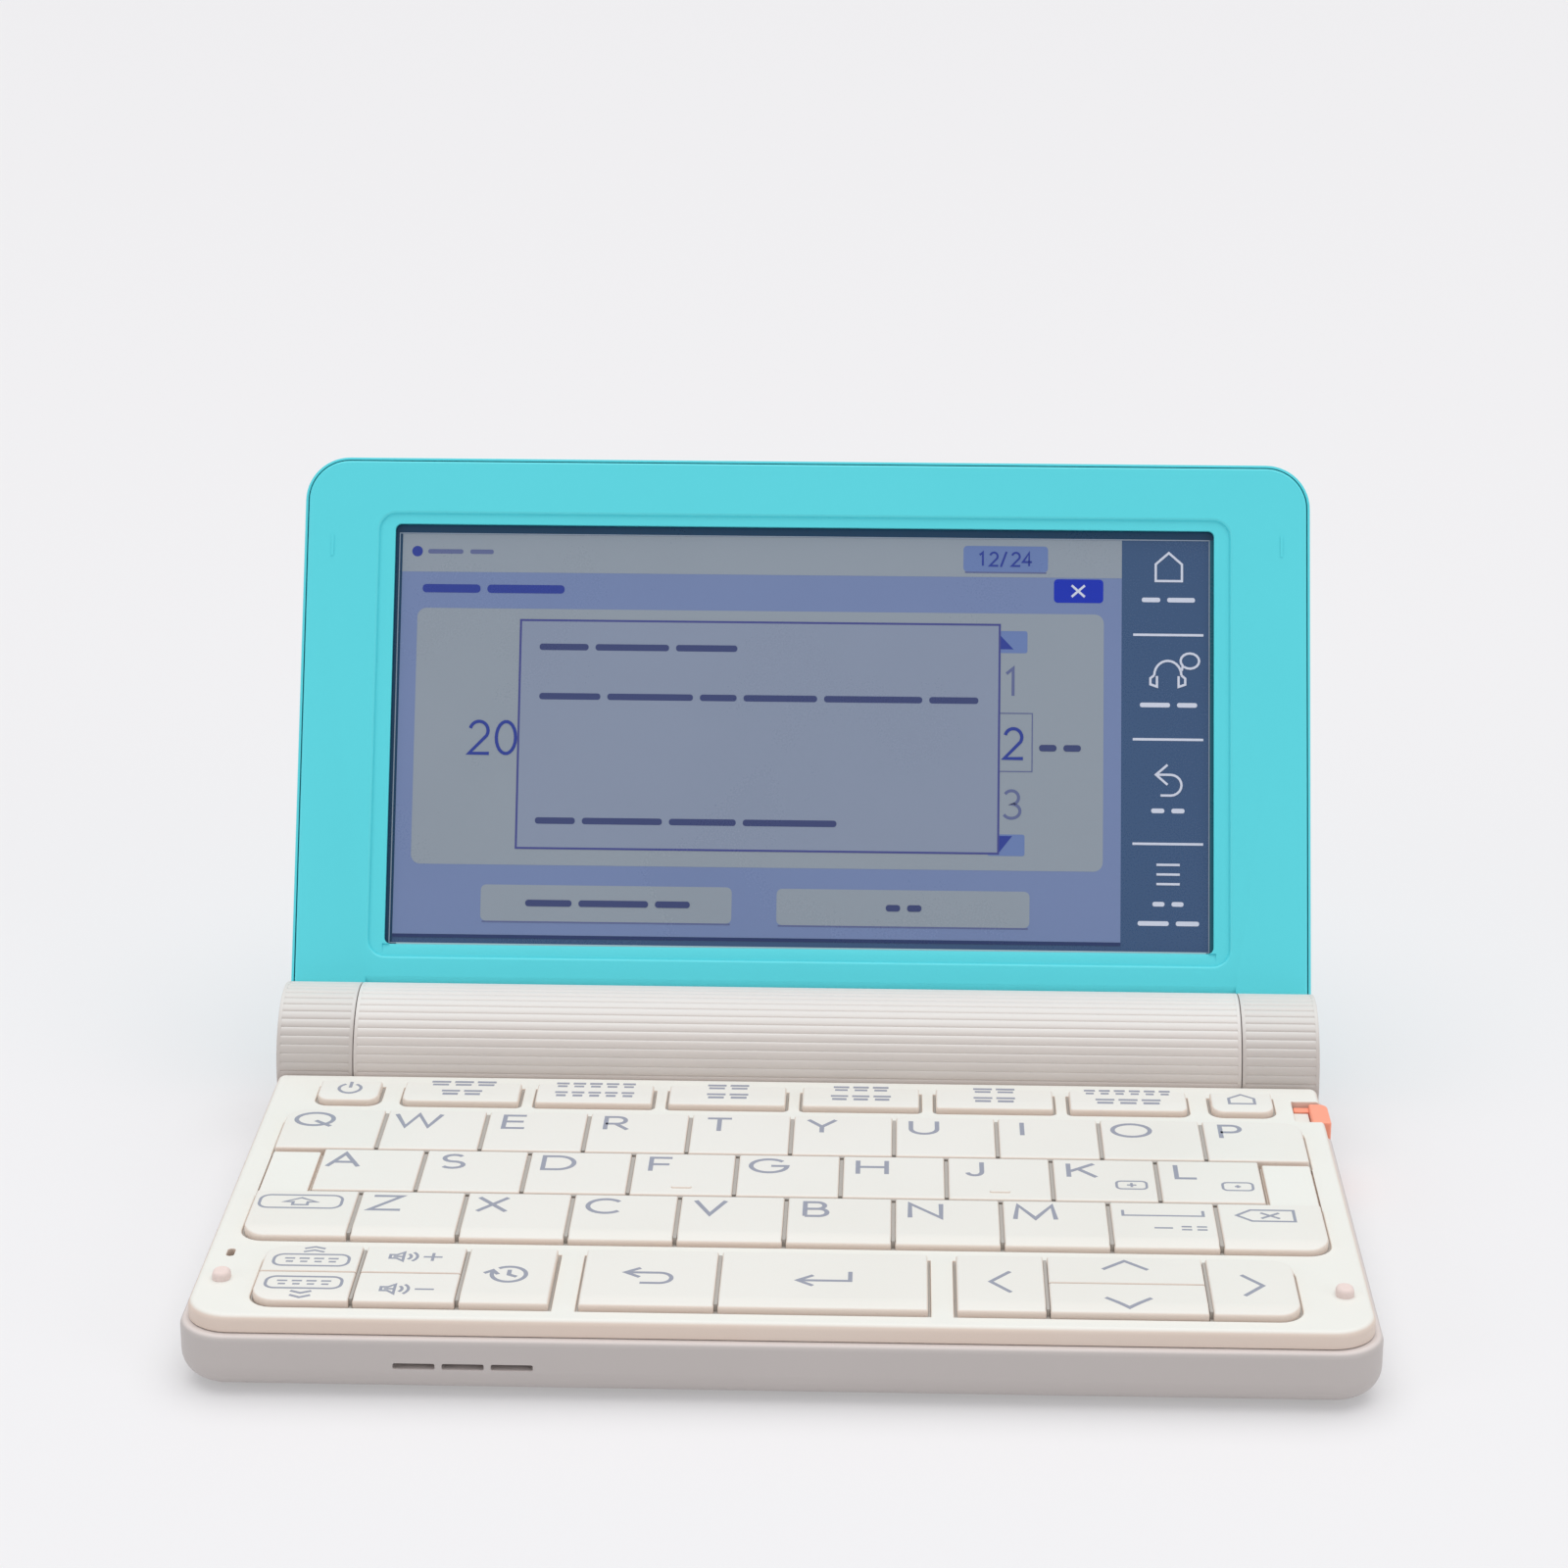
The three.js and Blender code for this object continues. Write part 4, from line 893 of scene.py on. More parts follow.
def rib_tree():
    tree, sockets, start, end = growing_tree("barrel_ribs", (
        ("Ribs", "Int"), ("First Angle", "Float"), ("Pitch", "Float"), ("Core Radius", "Float"),
        ("Left", "Float"), ("Right", "Float"), ("Half Width", "Float"), ("Height", "Float"),
        ("Axis", "Vector")))
    given = start.outputs
    run = node(tree, "GeometryNodeCurvePrimitiveLine")
    left, right = node(tree, "ShaderNodeCombineXYZ"), node(tree, "ShaderNodeCombineXYZ")
    profile = node(tree, "GeometryNodeCurvePrimitiveCircle", {"Resolution": 14, "Radius": 1.0})
    flatten = node(tree, "GeometryNodeTransform")
    scale = node(tree, "ShaderNodeCombineXYZ", {"Z": 1.0})
    bar = node(tree, "GeometryNodeCurveToMesh", {"Fill Caps": True})
    places = node(tree, "GeometryNodeMeshLine")
    index = node(tree, "GeometryNodeInputIndex")
    from_first = maths(tree, "MULTIPLY", index.outputs[0], given["Pitch"])
    angle = maths(tree, "ADD", given["First Angle"], from_first)
    spot = node(tree, "ShaderNodeCombineXYZ")
    move = node(tree, "GeometryNodeSetPosition")
    spin = node(tree, "ShaderNodeCombineXYZ")
    sit = node(tree, "ShaderNodeVectorMath", operation="ADD")
    minus_cos = maths(tree, "MULTIPLY", maths(tree, "COSINE", angle, 0.0), -1.0)
    sine = maths(tree, "SINE", angle, 0.0)
    wire(tree,
         (given["Left"], left.inputs["X"]), (given["Right"], right.inputs["X"]),
         (left.outputs[0], run.inputs["Start"]), (right.outputs[0], run.inputs["End"]),
         (given["Half Width"], scale.inputs["X"]), (given["Height"], scale.inputs["Y"]),
         (profile.outputs["Curve"], flatten.inputs["Geometry"]), (scale.outputs[0], flatten.inputs["Scale"]),
         (run.outputs["Curve"], bar.inputs["Curve"]),
         (flatten.outputs["Geometry"], bar.inputs["Profile Curve"]),
         (given["Ribs"], places.inputs["Count"]),
         (maths(tree, "MULTIPLY", minus_cos, given["Core Radius"]), spot.inputs["Y"]),
         (maths(tree, "MULTIPLY", sine, given["Core Radius"]), spot.inputs["Z"]),
         (spot.outputs[0], sit.inputs[0]), (given["Axis"], sit.inputs[1]),
         (places.outputs["Mesh"], move.inputs["Geometry"]), (sit.outputs[0], move.inputs["Position"]),
         (maths(tree, "SUBTRACT", math.pi / 2, angle), spin.inputs["X"]))
    copies = set_copies(tree, start, end, move.outputs["Geometry"], bar.outputs["Mesh"])
    wire(tree, (spin.outputs[0], copies.inputs["Rotation"]))
    return tree, sockets


ribs_tree, rib_inputs = rib_tree()
RIB_COUNT, RIB_OVERLAP = 48, 1.03
RIB_PITCH = 360 / RIB_COUNT
rib_half_width = CORE_RADIUS * math.radians(RIB_PITCH) / 2 * RIB_OVERLAP


def grow_nodes(name, tree, inputs, values):
    """Runs a Geometry Nodes tree once and keeps its result as a plain mesh."""
    ob = bpy.data.objects.new(name, bpy.data.meshes.new(name))
    scene.collection.objects.link(ob)
    grow = ob.modifiers.new("grow", "NODES")
    grow.node_group = tree
    for label, value in values.items():
        grow[inputs[label]] = value
    settle(ob)
    return ob


def ribs(name, start, end, x0, x1, body, finish=barrel_beige):
    """All the ribs whose middle lies between two angles, set off from the plain collars."""
    first = math.ceil((start + RIB_PITCH / 2) / RIB_PITCH)
    last = math.floor((end - RIB_PITCH / 2) / RIB_PITCH)
    if end - start >= 360:
        first, last = 0, RIB_COUNT - 1
    ob = grow_nodes(name, ribs_tree, rib_inputs, {
        "Ribs": last - first + 1, "First Angle": math.radians(first * RIB_PITCH),
        "Pitch": math.radians(RIB_PITCH),
        "Core Radius": CORE_RADIUS * MM, "Left": (x0 + COLLAR) * MM, "Right": (x1 - COLLAR) * MM,
        "Half Width": rib_half_width * MM, "Height": RIB_DEPTH * MM,
        "Axis": (0.0, AXIS_Y * MM, AXIS_Z * MM), "Finish": finish})
    dress(ob, finish, body, sharp=50)
    print(name, last - first + 1, "ribs")


ribs("barrel_front_ribs", COVER_FROM, COVER_TO, -END, END, "base")
ribs("battery_door_ribs", HATCH_FROM, HATCH_TO, -HATCH_HALF, HATCH_HALF, "battery_cover")
for side, name in SIDES:
    ribs(f"hinge_ribs_{name}", 0, 360, *pair(side, KNUCKLE_OUT, KNUCKLE_IN - CLOSER), "lid", barrel_beige_in_shade)
    ribs(f"end_block_ribs_{name}", HATCH_FROM, 360 + TROUGH_FROM,
         *pair(side, HATCH_GAP_HALF - COLLAR, BARREL_HALF + COLLAR), "base")

# %% [markdown]
# Six small screws hold the case together from below. One screw is built in the tree, with a cross
# cut into its head by a mesh Boolean, and is set on the points of a grid whose size is an input.

# %% Geometry Nodes: screws on a grid
def screw_tree():
    tree, sockets, start, end = growing_tree("case_screws", (
        ("Spread", "Float"), ("Depth", "Float"), ("Middle", "Vector"), ("Head Radius", "Float"),
        ("Head Height", "Float"), ("Cross Length", "Float"), ("Cross Width", "Float")))
    given = start.outputs
    grid = node(tree, "GeometryNodeMeshGrid", {"Vertices X": 3, "Vertices Y": 2})
    shift = node(tree, "GeometryNodeTransform")
    head = node(tree, "GeometryNodeMeshCylinder", {"Vertices": 32})
    sunk = node(tree, "ShaderNodeCombineXYZ")
    drive = node(tree, "GeometryNodeMeshBoolean", operation="DIFFERENCE", solver="EXACT")
    wire(tree, (maths(tree, "MULTIPLY", given["Head Height"], -0.5), sunk.inputs["Z"]))
    for long_side, short_side in (("X", "Y"), ("Y", "X")):
        size = node(tree, "ShaderNodeCombineXYZ")
        bar = node(tree, "GeometryNodeMeshCube")
        low = node(tree, "GeometryNodeTransform")
        wire(tree,
             (given["Cross Length"], size.inputs[long_side]), (given["Cross Width"], size.inputs[short_side]),
             (given["Head Height"], size.inputs["Z"]), (size.outputs[0], bar.inputs["Size"]),
             (bar.outputs["Mesh"], low.inputs["Geometry"]), (sunk.outputs[0], low.inputs["Translation"]),
             (low.outputs["Geometry"], drive.inputs[1]))
    wire(tree,
         (given["Spread"], grid.inputs["Size X"]), (given["Depth"], grid.inputs["Size Y"]),
         (grid.outputs["Mesh"], shift.inputs["Geometry"]), (given["Middle"], shift.inputs["Translation"]),
         (given["Head Radius"], head.inputs["Radius"]), (given["Head Height"], head.inputs["Depth"]),
         (head.outputs["Mesh"], drive.inputs[0]))
    set_copies(tree, start, end, shift.outputs["Geometry"], drive.outputs["Mesh"])
    return tree, sockets


def metal(name, color, streak_color, roughness, stretch):
    """Brushed or turned metal: fine streaks of tone, drawn out along one axis."""
    material, tree, shader = principled(name, {"Metallic": 1.0})
    place = node(tree, "ShaderNodeTexCoord")
    drawn = node(tree, "ShaderNodeMapping", {"Scale": stretch})
    streaks = node(tree, "ShaderNodeTexNoise", {"Scale": 1 / MM})
    tone = node(tree, "ShaderNodeMix", data_type="RGBA")
    tone.inputs[6].default_value, tone.inputs[7].default_value = (*color, 1), (*streak_color, 1)
    worn = maths(tree, "ADD", maths(tree, "MULTIPLY", streaks.outputs["Fac"], 0.2), roughness - 0.1)
    wire(tree,
         (place.outputs["Object"], drawn.inputs["Vector"]),
         (drawn.outputs["Vector"], streaks.inputs["Vector"]),
         (streaks.outputs["Fac"], tone.inputs["Factor"]), (tone.outputs[2], shader.inputs["Base Color"]),
         (worn, shader.inputs["Roughness"]))
    return material


screw_steel = metal("screw_steel", (0.34, 0.34, 0.35), (0.22, 0.22, 0.23), 0.38, (2.0, 2.0, 2.0))
HEAD_HEIGHT, HEAD_RADIUS, CROSS_REACH, CROSS_WIDTH = 0.6, 1.8, 1.15, 0.42
screws_tree, screw_inputs = screw_tree()
screws = grow_nodes("case_screw_set", screws_tree, screw_inputs, {
    "Spread": SCREW_SPREAD * MM, "Depth": SCREW_DEPTH * MM,
    "Middle": (0.0, (SCREW_FRONT + SCREW_DEPTH / 2) * MM, (SCREW_SUNK - HEAD_HEIGHT / 2) * MM),
    "Head Radius": HEAD_RADIUS * MM, "Head Height": HEAD_HEIGHT * MM,
    "Cross Length": HEAD_RADIUS * CROSS_REACH * MM, "Cross Width": CROSS_WIDTH * MM,
    "Finish": screw_steel})
dress(screws, screw_steel, "base")
print("screws:", len(screws.data.polygons), "faces")

# %% [markdown]
# Five nodes of the solid model stay as they are, because they lie inside: the board, the mat, the
# speaker, the cells and the hinge pin. They show when the battery door slides off, or through a
# slot, so each gets the finish of the real thing, worked out from where it lies.

# %% Finishes of the parts inside
def drawn_finish(name, roughness, metallic=0.0):
    """A material whose pattern is drawn on Object coordinates, counted in millimetres."""
    material, tree, shader = principled(name, {"Roughness": roughness, "Metallic": metallic})
    place = node(tree, "ShaderNodeTexCoord")
    counted = node(tree, "ShaderNodeMapping", {"Scale": (1 / MM,) * 3})
    wire(tree, (place.outputs["Object"], counted.inputs["Vector"]))
    return material, tree, shader.inputs["Base Color"], counted


def stepped(tree, factor, stops, target):
    """Bands of plain colour along a value from 0 to 1."""
    ramp = node(tree, "ShaderNodeValToRGB")
    ramp.color_ramp.interpolation = "CONSTANT"
    while len(ramp.color_ramp.elements) < len(stops):
        ramp.color_ramp.elements.new(0.5)
    for element, (at, color) in zip(ramp.color_ramp.elements, stops):
        element.position = at
        element.color = (*color, 1)
    wire(tree, (factor, ramp.inputs["Fac"]), (ramp.outputs["Color"], target))


def board_finish():
    """Green solder mask over copper tracks, with a scatter of tinned pads."""
    material, tree, base_color, counted = drawn_finish("solder_mask", 0.35)
    tracks = node(tree, "ShaderNodeTexBrick", {
        "Color1": (0.01, 0.13, 0.06, 1), "Color2": (0.012, 0.16, 0.07, 1), "Mortar": (0.03, 0.27, 0.11, 1),
        "Scale": 1.0, "Mortar Size": 0.06, "Brick Width": 5.0, "Row Height": 0.7})
    pads = node(tree, "ShaderNodeTexVoronoi", {"Scale": 0.35})
    tinned = maths(tree, "LESS_THAN", pads.outputs["Distance"], 0.16)
    mix = node(tree, "ShaderNodeMix", data_type="RGBA")
    mix.inputs[7].default_value = (0.62, 0.60, 0.52, 1)
    wire(tree,
         (counted.outputs[0], tracks.inputs["Vector"]), (counted.outputs[0], pads.inputs["Vector"]),
         (tinned, mix.inputs["Factor"]), (tracks.outputs["Color"], mix.inputs[6]),
         (mix.outputs[2], base_color))
    return material


def cell_finish():
    """Two plain dry cells nose to tail: tinned nose, a copper band and a dark jacket, then again."""
    cells_low, cells_high = span("battery_cells")
    pitch = (cells_high[0] - cells_low[0]) / 2
    material, tree, base_color, counted = drawn_finish("cell_jacket", 0.32, 0.6)
    along = node(tree, "ShaderNodeSeparateXYZ")
    wire(tree, (counted.outputs[0], along.inputs[0]))
    from_left = maths(tree, "SUBTRACT", along.outputs["X"], cells_low[0] - 0.001)
    share = maths(tree, "DIVIDE", maths(tree, "MODULO", from_left, pitch), pitch)
    stepped(tree, share, ((0.0, (0.70, 0.69, 0.66)), (0.035, (0.60, 0.32, 0.16)), (0.22, (0.09, 0.095, 0.10)),
                          (0.95, (0.55, 0.55, 0.53))), base_color)
    return material


def speaker_finish():
    """A black frame round a ribbed paper cone."""
    speaker_low, speaker_high = span("speaker")
    material, tree, base_color, counted = drawn_finish("speaker_cone", 0.7)
    counted.inputs["Location"].default_value = [-(a + b) / 2 for a, b in zip(speaker_low, speaker_high)]
    away = node(tree, "ShaderNodeVectorMath", operation="LENGTH")
    wire(tree, (counted.outputs[0], away.inputs[0]))
    rings = maths(tree, "MULTIPLY", away.outputs["Value"], 0.1)
    stepped(tree, rings, ((0.0, (0.05, 0.05, 0.055)), (0.14, (0.02, 0.02, 0.022)),
                          (0.18, (0.07, 0.068, 0.065)), (0.34, (0.03, 0.03, 0.033)),
                          (0.4, (0.015, 0.015, 0.017))), base_color)
    return material


pin_steel = metal("pin_steel", (0.55, 0.55, 0.56), (0.42, 0.42, 0.43), 0.25, (0.2, 2, 2))
inner_finishes = {"circuit_board": board_finish(), "battery_cells": cell_finish(),
                  "speaker": speaker_finish(), "key_mat": mat_and_gap_shade_rubber, "hinge_pin": pin_steel}
for name, material in inner_finishes.items():
    frame["nodes"][name].material_slots[0].material = material
print("kept nodes:", sorted(inner_finishes))

# %% [markdown]
# The lid is two shells round the display. The back shell is a tray with a large soft edge, and its
# thin lip comes forward round the bezel, so a fine dark line parts the two. Both shells are drawn in
# the closed lid's own frame, where the outlines are plain rectangles, and the matrix of the open lid
# then turns them into place.

# %% Lid back shell
lid_low, lid_high = span("lid_back_cover", to_lid)
bezel_low = span("lid_bezel", to_lid)[0]
LID_CORNER, LID_EDGE, LID_HEEL = 5.7, 2.5, -lid_high[1]
SHOULDER, LIP_GAP, LIP_SET_BACK, LIP_EDGE = 0.45, 0.13, 0.2, 0.12
LID_CLEAR = BARREL_RADIUS + 0.22
LID_FACE, LID_RIM, LID_OUT = bezel_low[2], lid_low[2], lid_high[2]
LID_REACH = -lid_low[1]


def lid_plan(inset, steps=14):
    corner = LID_CORNER - inset
    return rounded(-HALF_WIDTH + inset, HALF_WIDTH - inset, -LID_REACH + inset, 0,
                   (corner, corner, 0, 0), steps)


def hinge_room(grow=0.0):
    """The space round the hinge line that the lid's shells stay out of."""
    end = HALF_WIDTH + OVER
    return [turned([(-end, KNUCKLE_CLEAR + grow), (end, KNUCKLE_CLEAR + grow)], 0, 0, 128),
            turned([(-KNUCKLE_IN, LID_CLEAR + grow), (KNUCKLE_IN, LID_CLEAR + grow)], 0, 0, 128),
            block(-end, end, -LID_HEEL - grow, OVER * 2, 0, LID_OUT + OVER)]


lip_front = LID_FACE + LIP_SET_BACK
back_shell = make("lid_back", slab(lid_plan(0), lip_front, LID_OUT, LIP_EDGE, LID_EDGE, 8), to_lid)
carve(back_shell, slab(lid_plan(SHOULDER - LIP_GAP), lip_front - OVER, LID_RIM), to_lid)
cavity_solid = slab(lid_plan(LID_WALL), -OVER, LID_OUT - LID_WALL, 0, LID_EDGE - LID_WALL, 5)
cavity = make("cavity", cavity_solid, to_lid)
for solid in hinge_room(LID_WALL):
    carve(cavity, solid, to_lid)
combine(back_shell, cavity)
for solid in hinge_room():
    carve(back_shell, solid, to_lid)
arm_room = [block(*pair(side, KNUCKLE_IN + ARM_INSET - SEAT, KNUCKLE_OUT - ARM_END + SEAT),
                  arm_low[1] - SEAT, 0, lid_arm_top - ARM_THICK - SEAT, LID_OUT - LID_WALL)
            for side in (-1, 1)]
carve(back_shell, together(*arm_room), to_lid)
dress(back_shell, turquoise, "lid", ["lid_back_cover"])
print("lid back:", len(back_shell.data.polygons), "faces")

# %% [markdown]
# The bezel is a thin frame with a shallow dish round the window, whose foot slopes. Its front edge is
# softly rounded, and along the barrel its lower edge has a chamfer that shows as a darker band.

# %% Lid bezel
BEZEL, TONGUE_DEEP, TONGUE_THICK = 1.0, 1.3, 0.8
DISH_DEPTH, DISH_SIDE, DISH_TOP, DISH_BOTTOM, DISH_CORNER = 0.42, 2.0, 1.3, 1.6, 2.2
WINDOW_SIDE, WINDOW_TOP, WINDOW_BOTTOM, WINDOW_LEFT_MORE = 53.1, 69.0, 13.9, 0.55
BEZEL_EDGE, CHAMFER_RISE, CHAMFER_DEEP = 0.3, 1.0, 0.6
DISH_FLARE, DISH_SLOPE, SLOPE_LEFT, SLOPE_RIGHT = 0.38, 0.26, 0.8, 0.3


def window_plan(side=0.0, top=0.0, bottom=0.0, corner=0.8, left_more=WINDOW_LEFT_MORE):
    return rounded(-WINDOW_SIDE - side - left_more, WINDOW_SIDE + side, -WINDOW_TOP - top,
                   -WINDOW_BOTTOM + bottom, (corner,) * 4, 8)


bezel_back = LID_FACE + BEZEL
bezel = make("bezel", slab(lid_plan(SHOULDER), LID_FACE, bezel_back, BEZEL_EDGE, 0.0, 5), to_lid)
tongue_gap = LID_WALL + SEAT
tongue_solid = slab(lid_plan(tongue_gap), LID_FACE + BEZEL / 2, bezel_back + TONGUE_DEEP)
tongue = make("tongue", tongue_solid, to_lid)
carve(tongue, slab(lid_plan(tongue_gap + TONGUE_THICK), LID_FACE, LID_OUT), to_lid)
carve(tongue, block(-HALF_WIDTH, HALF_WIDTH, -LID_REACH / 2, OVER, LID_FACE, LID_OUT), to_lid)
combine(bezel, tongue, "UNION")
dish_plan = window_plan(DISH_SIDE, DISH_TOP, DISH_BOTTOM, DISH_CORNER)
carve(bezel, flared_cutter(dish_plan, LID_FACE + DISH_DEPTH, LID_FACE, DISH_FLARE), to_lid)
dish_foot = -(WINDOW_BOTTOM - DISH_BOTTOM + DISH_FLARE)
dish_back = LID_FACE + DISH_DEPTH
slope = [(dish_foot, dish_back - HAIR), (-WINDOW_BOTTOM - HAIR, dish_back - HAIR),
         (-WINDOW_BOTTOM - HAIR, dish_back + DISH_SLOPE)]
carve(bezel, beam(slope, -WINDOW_SIDE - SLOPE_LEFT, WINDOW_SIDE + SLOPE_RIGHT), to_lid)
carve(bezel, slab(window_plan(), LID_FACE - OVER, bezel_back + OVER), to_lid)
for solid in hinge_room()[:2]:
    carve(bezel, solid, to_lid)
lower_v = math.sqrt(LID_CLEAR ** 2 - LID_FACE ** 2)
chamfer = [(-lower_v - CHAMFER_RISE, LID_FACE - HAIR), (-lower_v + OVER, LID_FACE - HAIR),
           (-lower_v + OVER, LID_FACE + CHAMFER_DEEP), (-lower_v, LID_FACE + CHAMFER_DEEP)]
carve(bezel, beam(chamfer, -KNUCKLE_IN, KNUCKLE_IN), to_lid)
dress(bezel, turquoise, "lid", ["lid_bezel"])
print("bezel:", len(bezel.data.polygons), "faces")

# %% Touch panel and display
GLASS, GLASS_OVER, GLASS_EDGE, DISPLAY_INSET = 1.1, 1.4, 0.12, 0.6
glass_front = bezel_back + SEAT
screen_plan = window_plan(GLASS_OVER, GLASS_OVER, GLASS_OVER, left_more=0.0)
panel = make("touch_panel", slab(screen_plan, glass_front, glass_front + GLASS, GLASS_EDGE, 0.0, 3), to_lid)
module_back = span("touch_display", to_lid)[1][2]
module_over = GLASS_OVER - DISPLAY_INSET
module_plan = window_plan(module_over, module_over, module_over, left_more=0.0)
add(panel, slab(module_plan, glass_front + GLASS / 2, module_back), to_lid)
panel_navy = moulded("panel_navy", (0.034, 0.084, 0.190), (0.032, 0.078, 0.172), 0.24, coat=0.4)
dress(panel, panel_navy, "lid", ["touch_display"])

# %% [markdown]
# The stylus parks in a lane under the deck. Only its coral end shows: a bright block flush with the
# deck, a lower arm behind it, and the cap's face in the right wall.

# %% Stylus
SHAFT_LOW, SHAFT_TOP, CAP_TOP_Z = pen_low[2], pen_low[2] + 2.8, pen_low[2] + 5.7
SHAFT_FRONT, SHAFT_REAR = pen_low[1] + 1.15, pen_low[1] + 9.15
SHAFT_NOSE, SHAFT_EDGE, CAP_FOOT, CAP_EDGE, CAP_CORNER = 3.2, 0.9, 1.0, 0.3, 0.35
TAB_PLAY, TAB_CORNER, TAB_REAR_CORNER, TAB_EDGE = 0.15, 0.3, 1.0, 0.28
ARM_CORNER, ARM_EDGE, ARM_SUNK = 0.25, 0.2, 0.5
TAB_REAR = NOTCH_REAR - TAB_PLAY
shaft = rounded(pen_low[0], cap_left + OVER, SHAFT_FRONT, SHAFT_REAR, (SHAFT_NOSE, 0, 0, SHAFT_NOSE), 12)
stylus_piece = make("stylus_pen", slab(shaft, SHAFT_LOW, SHAFT_TOP, SHAFT_EDGE, SHAFT_EDGE, 6))
cap_lower = rounded(cap_left, cap_right, pen_low[1], pen_high[1], (CAP_CORNER,) * 4, 5)
cap_upper = rounded(cap_left, cap_right, TAB_FRONT, TAB_REAR, (CAP_CORNER,) * 4, 5)
tab_block = rounded(LEDGE_OUT + TAB_PLAY, cap_right, TAB_FRONT, TAB_REAR,
                    (TAB_CORNER, TAB_CORNER, TAB_REAR_CORNER, TAB_CORNER), 5)
tab_arm = rounded(NOTCH_IN + ARM_ROOM, cap_right - OVER, NOTCH_REAR - ARM_DEPTH, TAB_REAR,
                  (ARM_CORNER,) * 4, 5)
for solid in (slab(cap_lower, SHAFT_LOW, CAP_STEP, CAP_FOOT, CAP_EDGE, 6),
              slab(cap_upper, SHAFT_TOP - OVER, CAP_TOP_Z, 0.0, CAP_EDGE, 6),
              slab(tab_block, CAP_TOP_Z - OVER, pen_high[2], 0.0, TAB_EDGE, 5),
              slab(tab_arm, CAP_TOP_Z - OVER, pen_high[2] - ARM_SUNK, 0.0, ARM_EDGE, 5)):
    add(stylus_piece, solid)
dress(stylus_piece, coral, "stylus", ["stylus"])

# %% [markdown]
# Legends are pad printed: ink lies on the key as a skin a hair thick. Each mark is a ribbon along a
# path with mitred corners, so a letter is only a few strokes on a unit height. The other keys have
# a plain sign for their task, or short dashes.

# %% Ribbons
INK_UNDER, INK_PROUD, INK_STEP = 0.05, 0.014, 0.004


def band(path, width, z0, z1, closed=False):
    """A flat ribbon along a path of (x, y), mitred at its corners."""
    path = [point for i, point in enumerate(path) if i == 0 or math.dist(point, path[i - 1]) > 0.001]
    half, last = width / 2, len(path) - 1
    rings = []
    for i, here in enumerate(path):
        before = path[i - 1] if i or closed else None
        after = path[(i + 1) % len(path)] if i < last or closed else None
        ways = [(Vector(b) - Vector(a)).normalized() for a, b in ((before, here), (here, after)) if a and b]
        along = sum(ways, Vector((0, 0))).normalized() if len(ways) == 2 else ways[0]
        across = Vector((-along.y, along.x))
        reach = half / max(across.dot(Vector((-ways[0].y, ways[0].x))), 0.45)
        left, right = Vector(here) + across * reach, Vector(here) - across * reach
        rings.append([(*right, z0), (*left, z0), (*left, z1), (*right, z1)])
    points, faces = loft(rings)
    if closed:
        ring = last * 4
        faces = faces[1:-1] + [(ring + i, ring + (i + 1) % 4, (i + 1) % 4, i) for i in range(4)]
    return points, faces


def ribbon(path, width, z0, z1):
    """A band along a path; a path that ends where it starts is closed."""
    closed = len(path) > 3 and math.dist(path[0], path[-1]) < 0.001
    return band(path[:-1] if closed else path, width, z0, z1, closed)


def strokes(paths, width, z0, z1):
    """Several ribbons, each a trace above the last where they cross."""
    lifts = [i % 3 * INK_STEP for i in range(len(paths))]
    return together(*[ribbon(path, width, z0 + lift, z1 + lift) for path, lift in zip(paths, lifts)])


def boxed(x0, x1, y0, y1, corner, steps=6):
    points = rounded(x0, x1, y0, y1, (corner,) * 4, steps)()
    return points + points[:1]


def scaled(paths, size, x, y):
    return [[(x + px * size, y + py * size) for px, py in path] for path in paths]


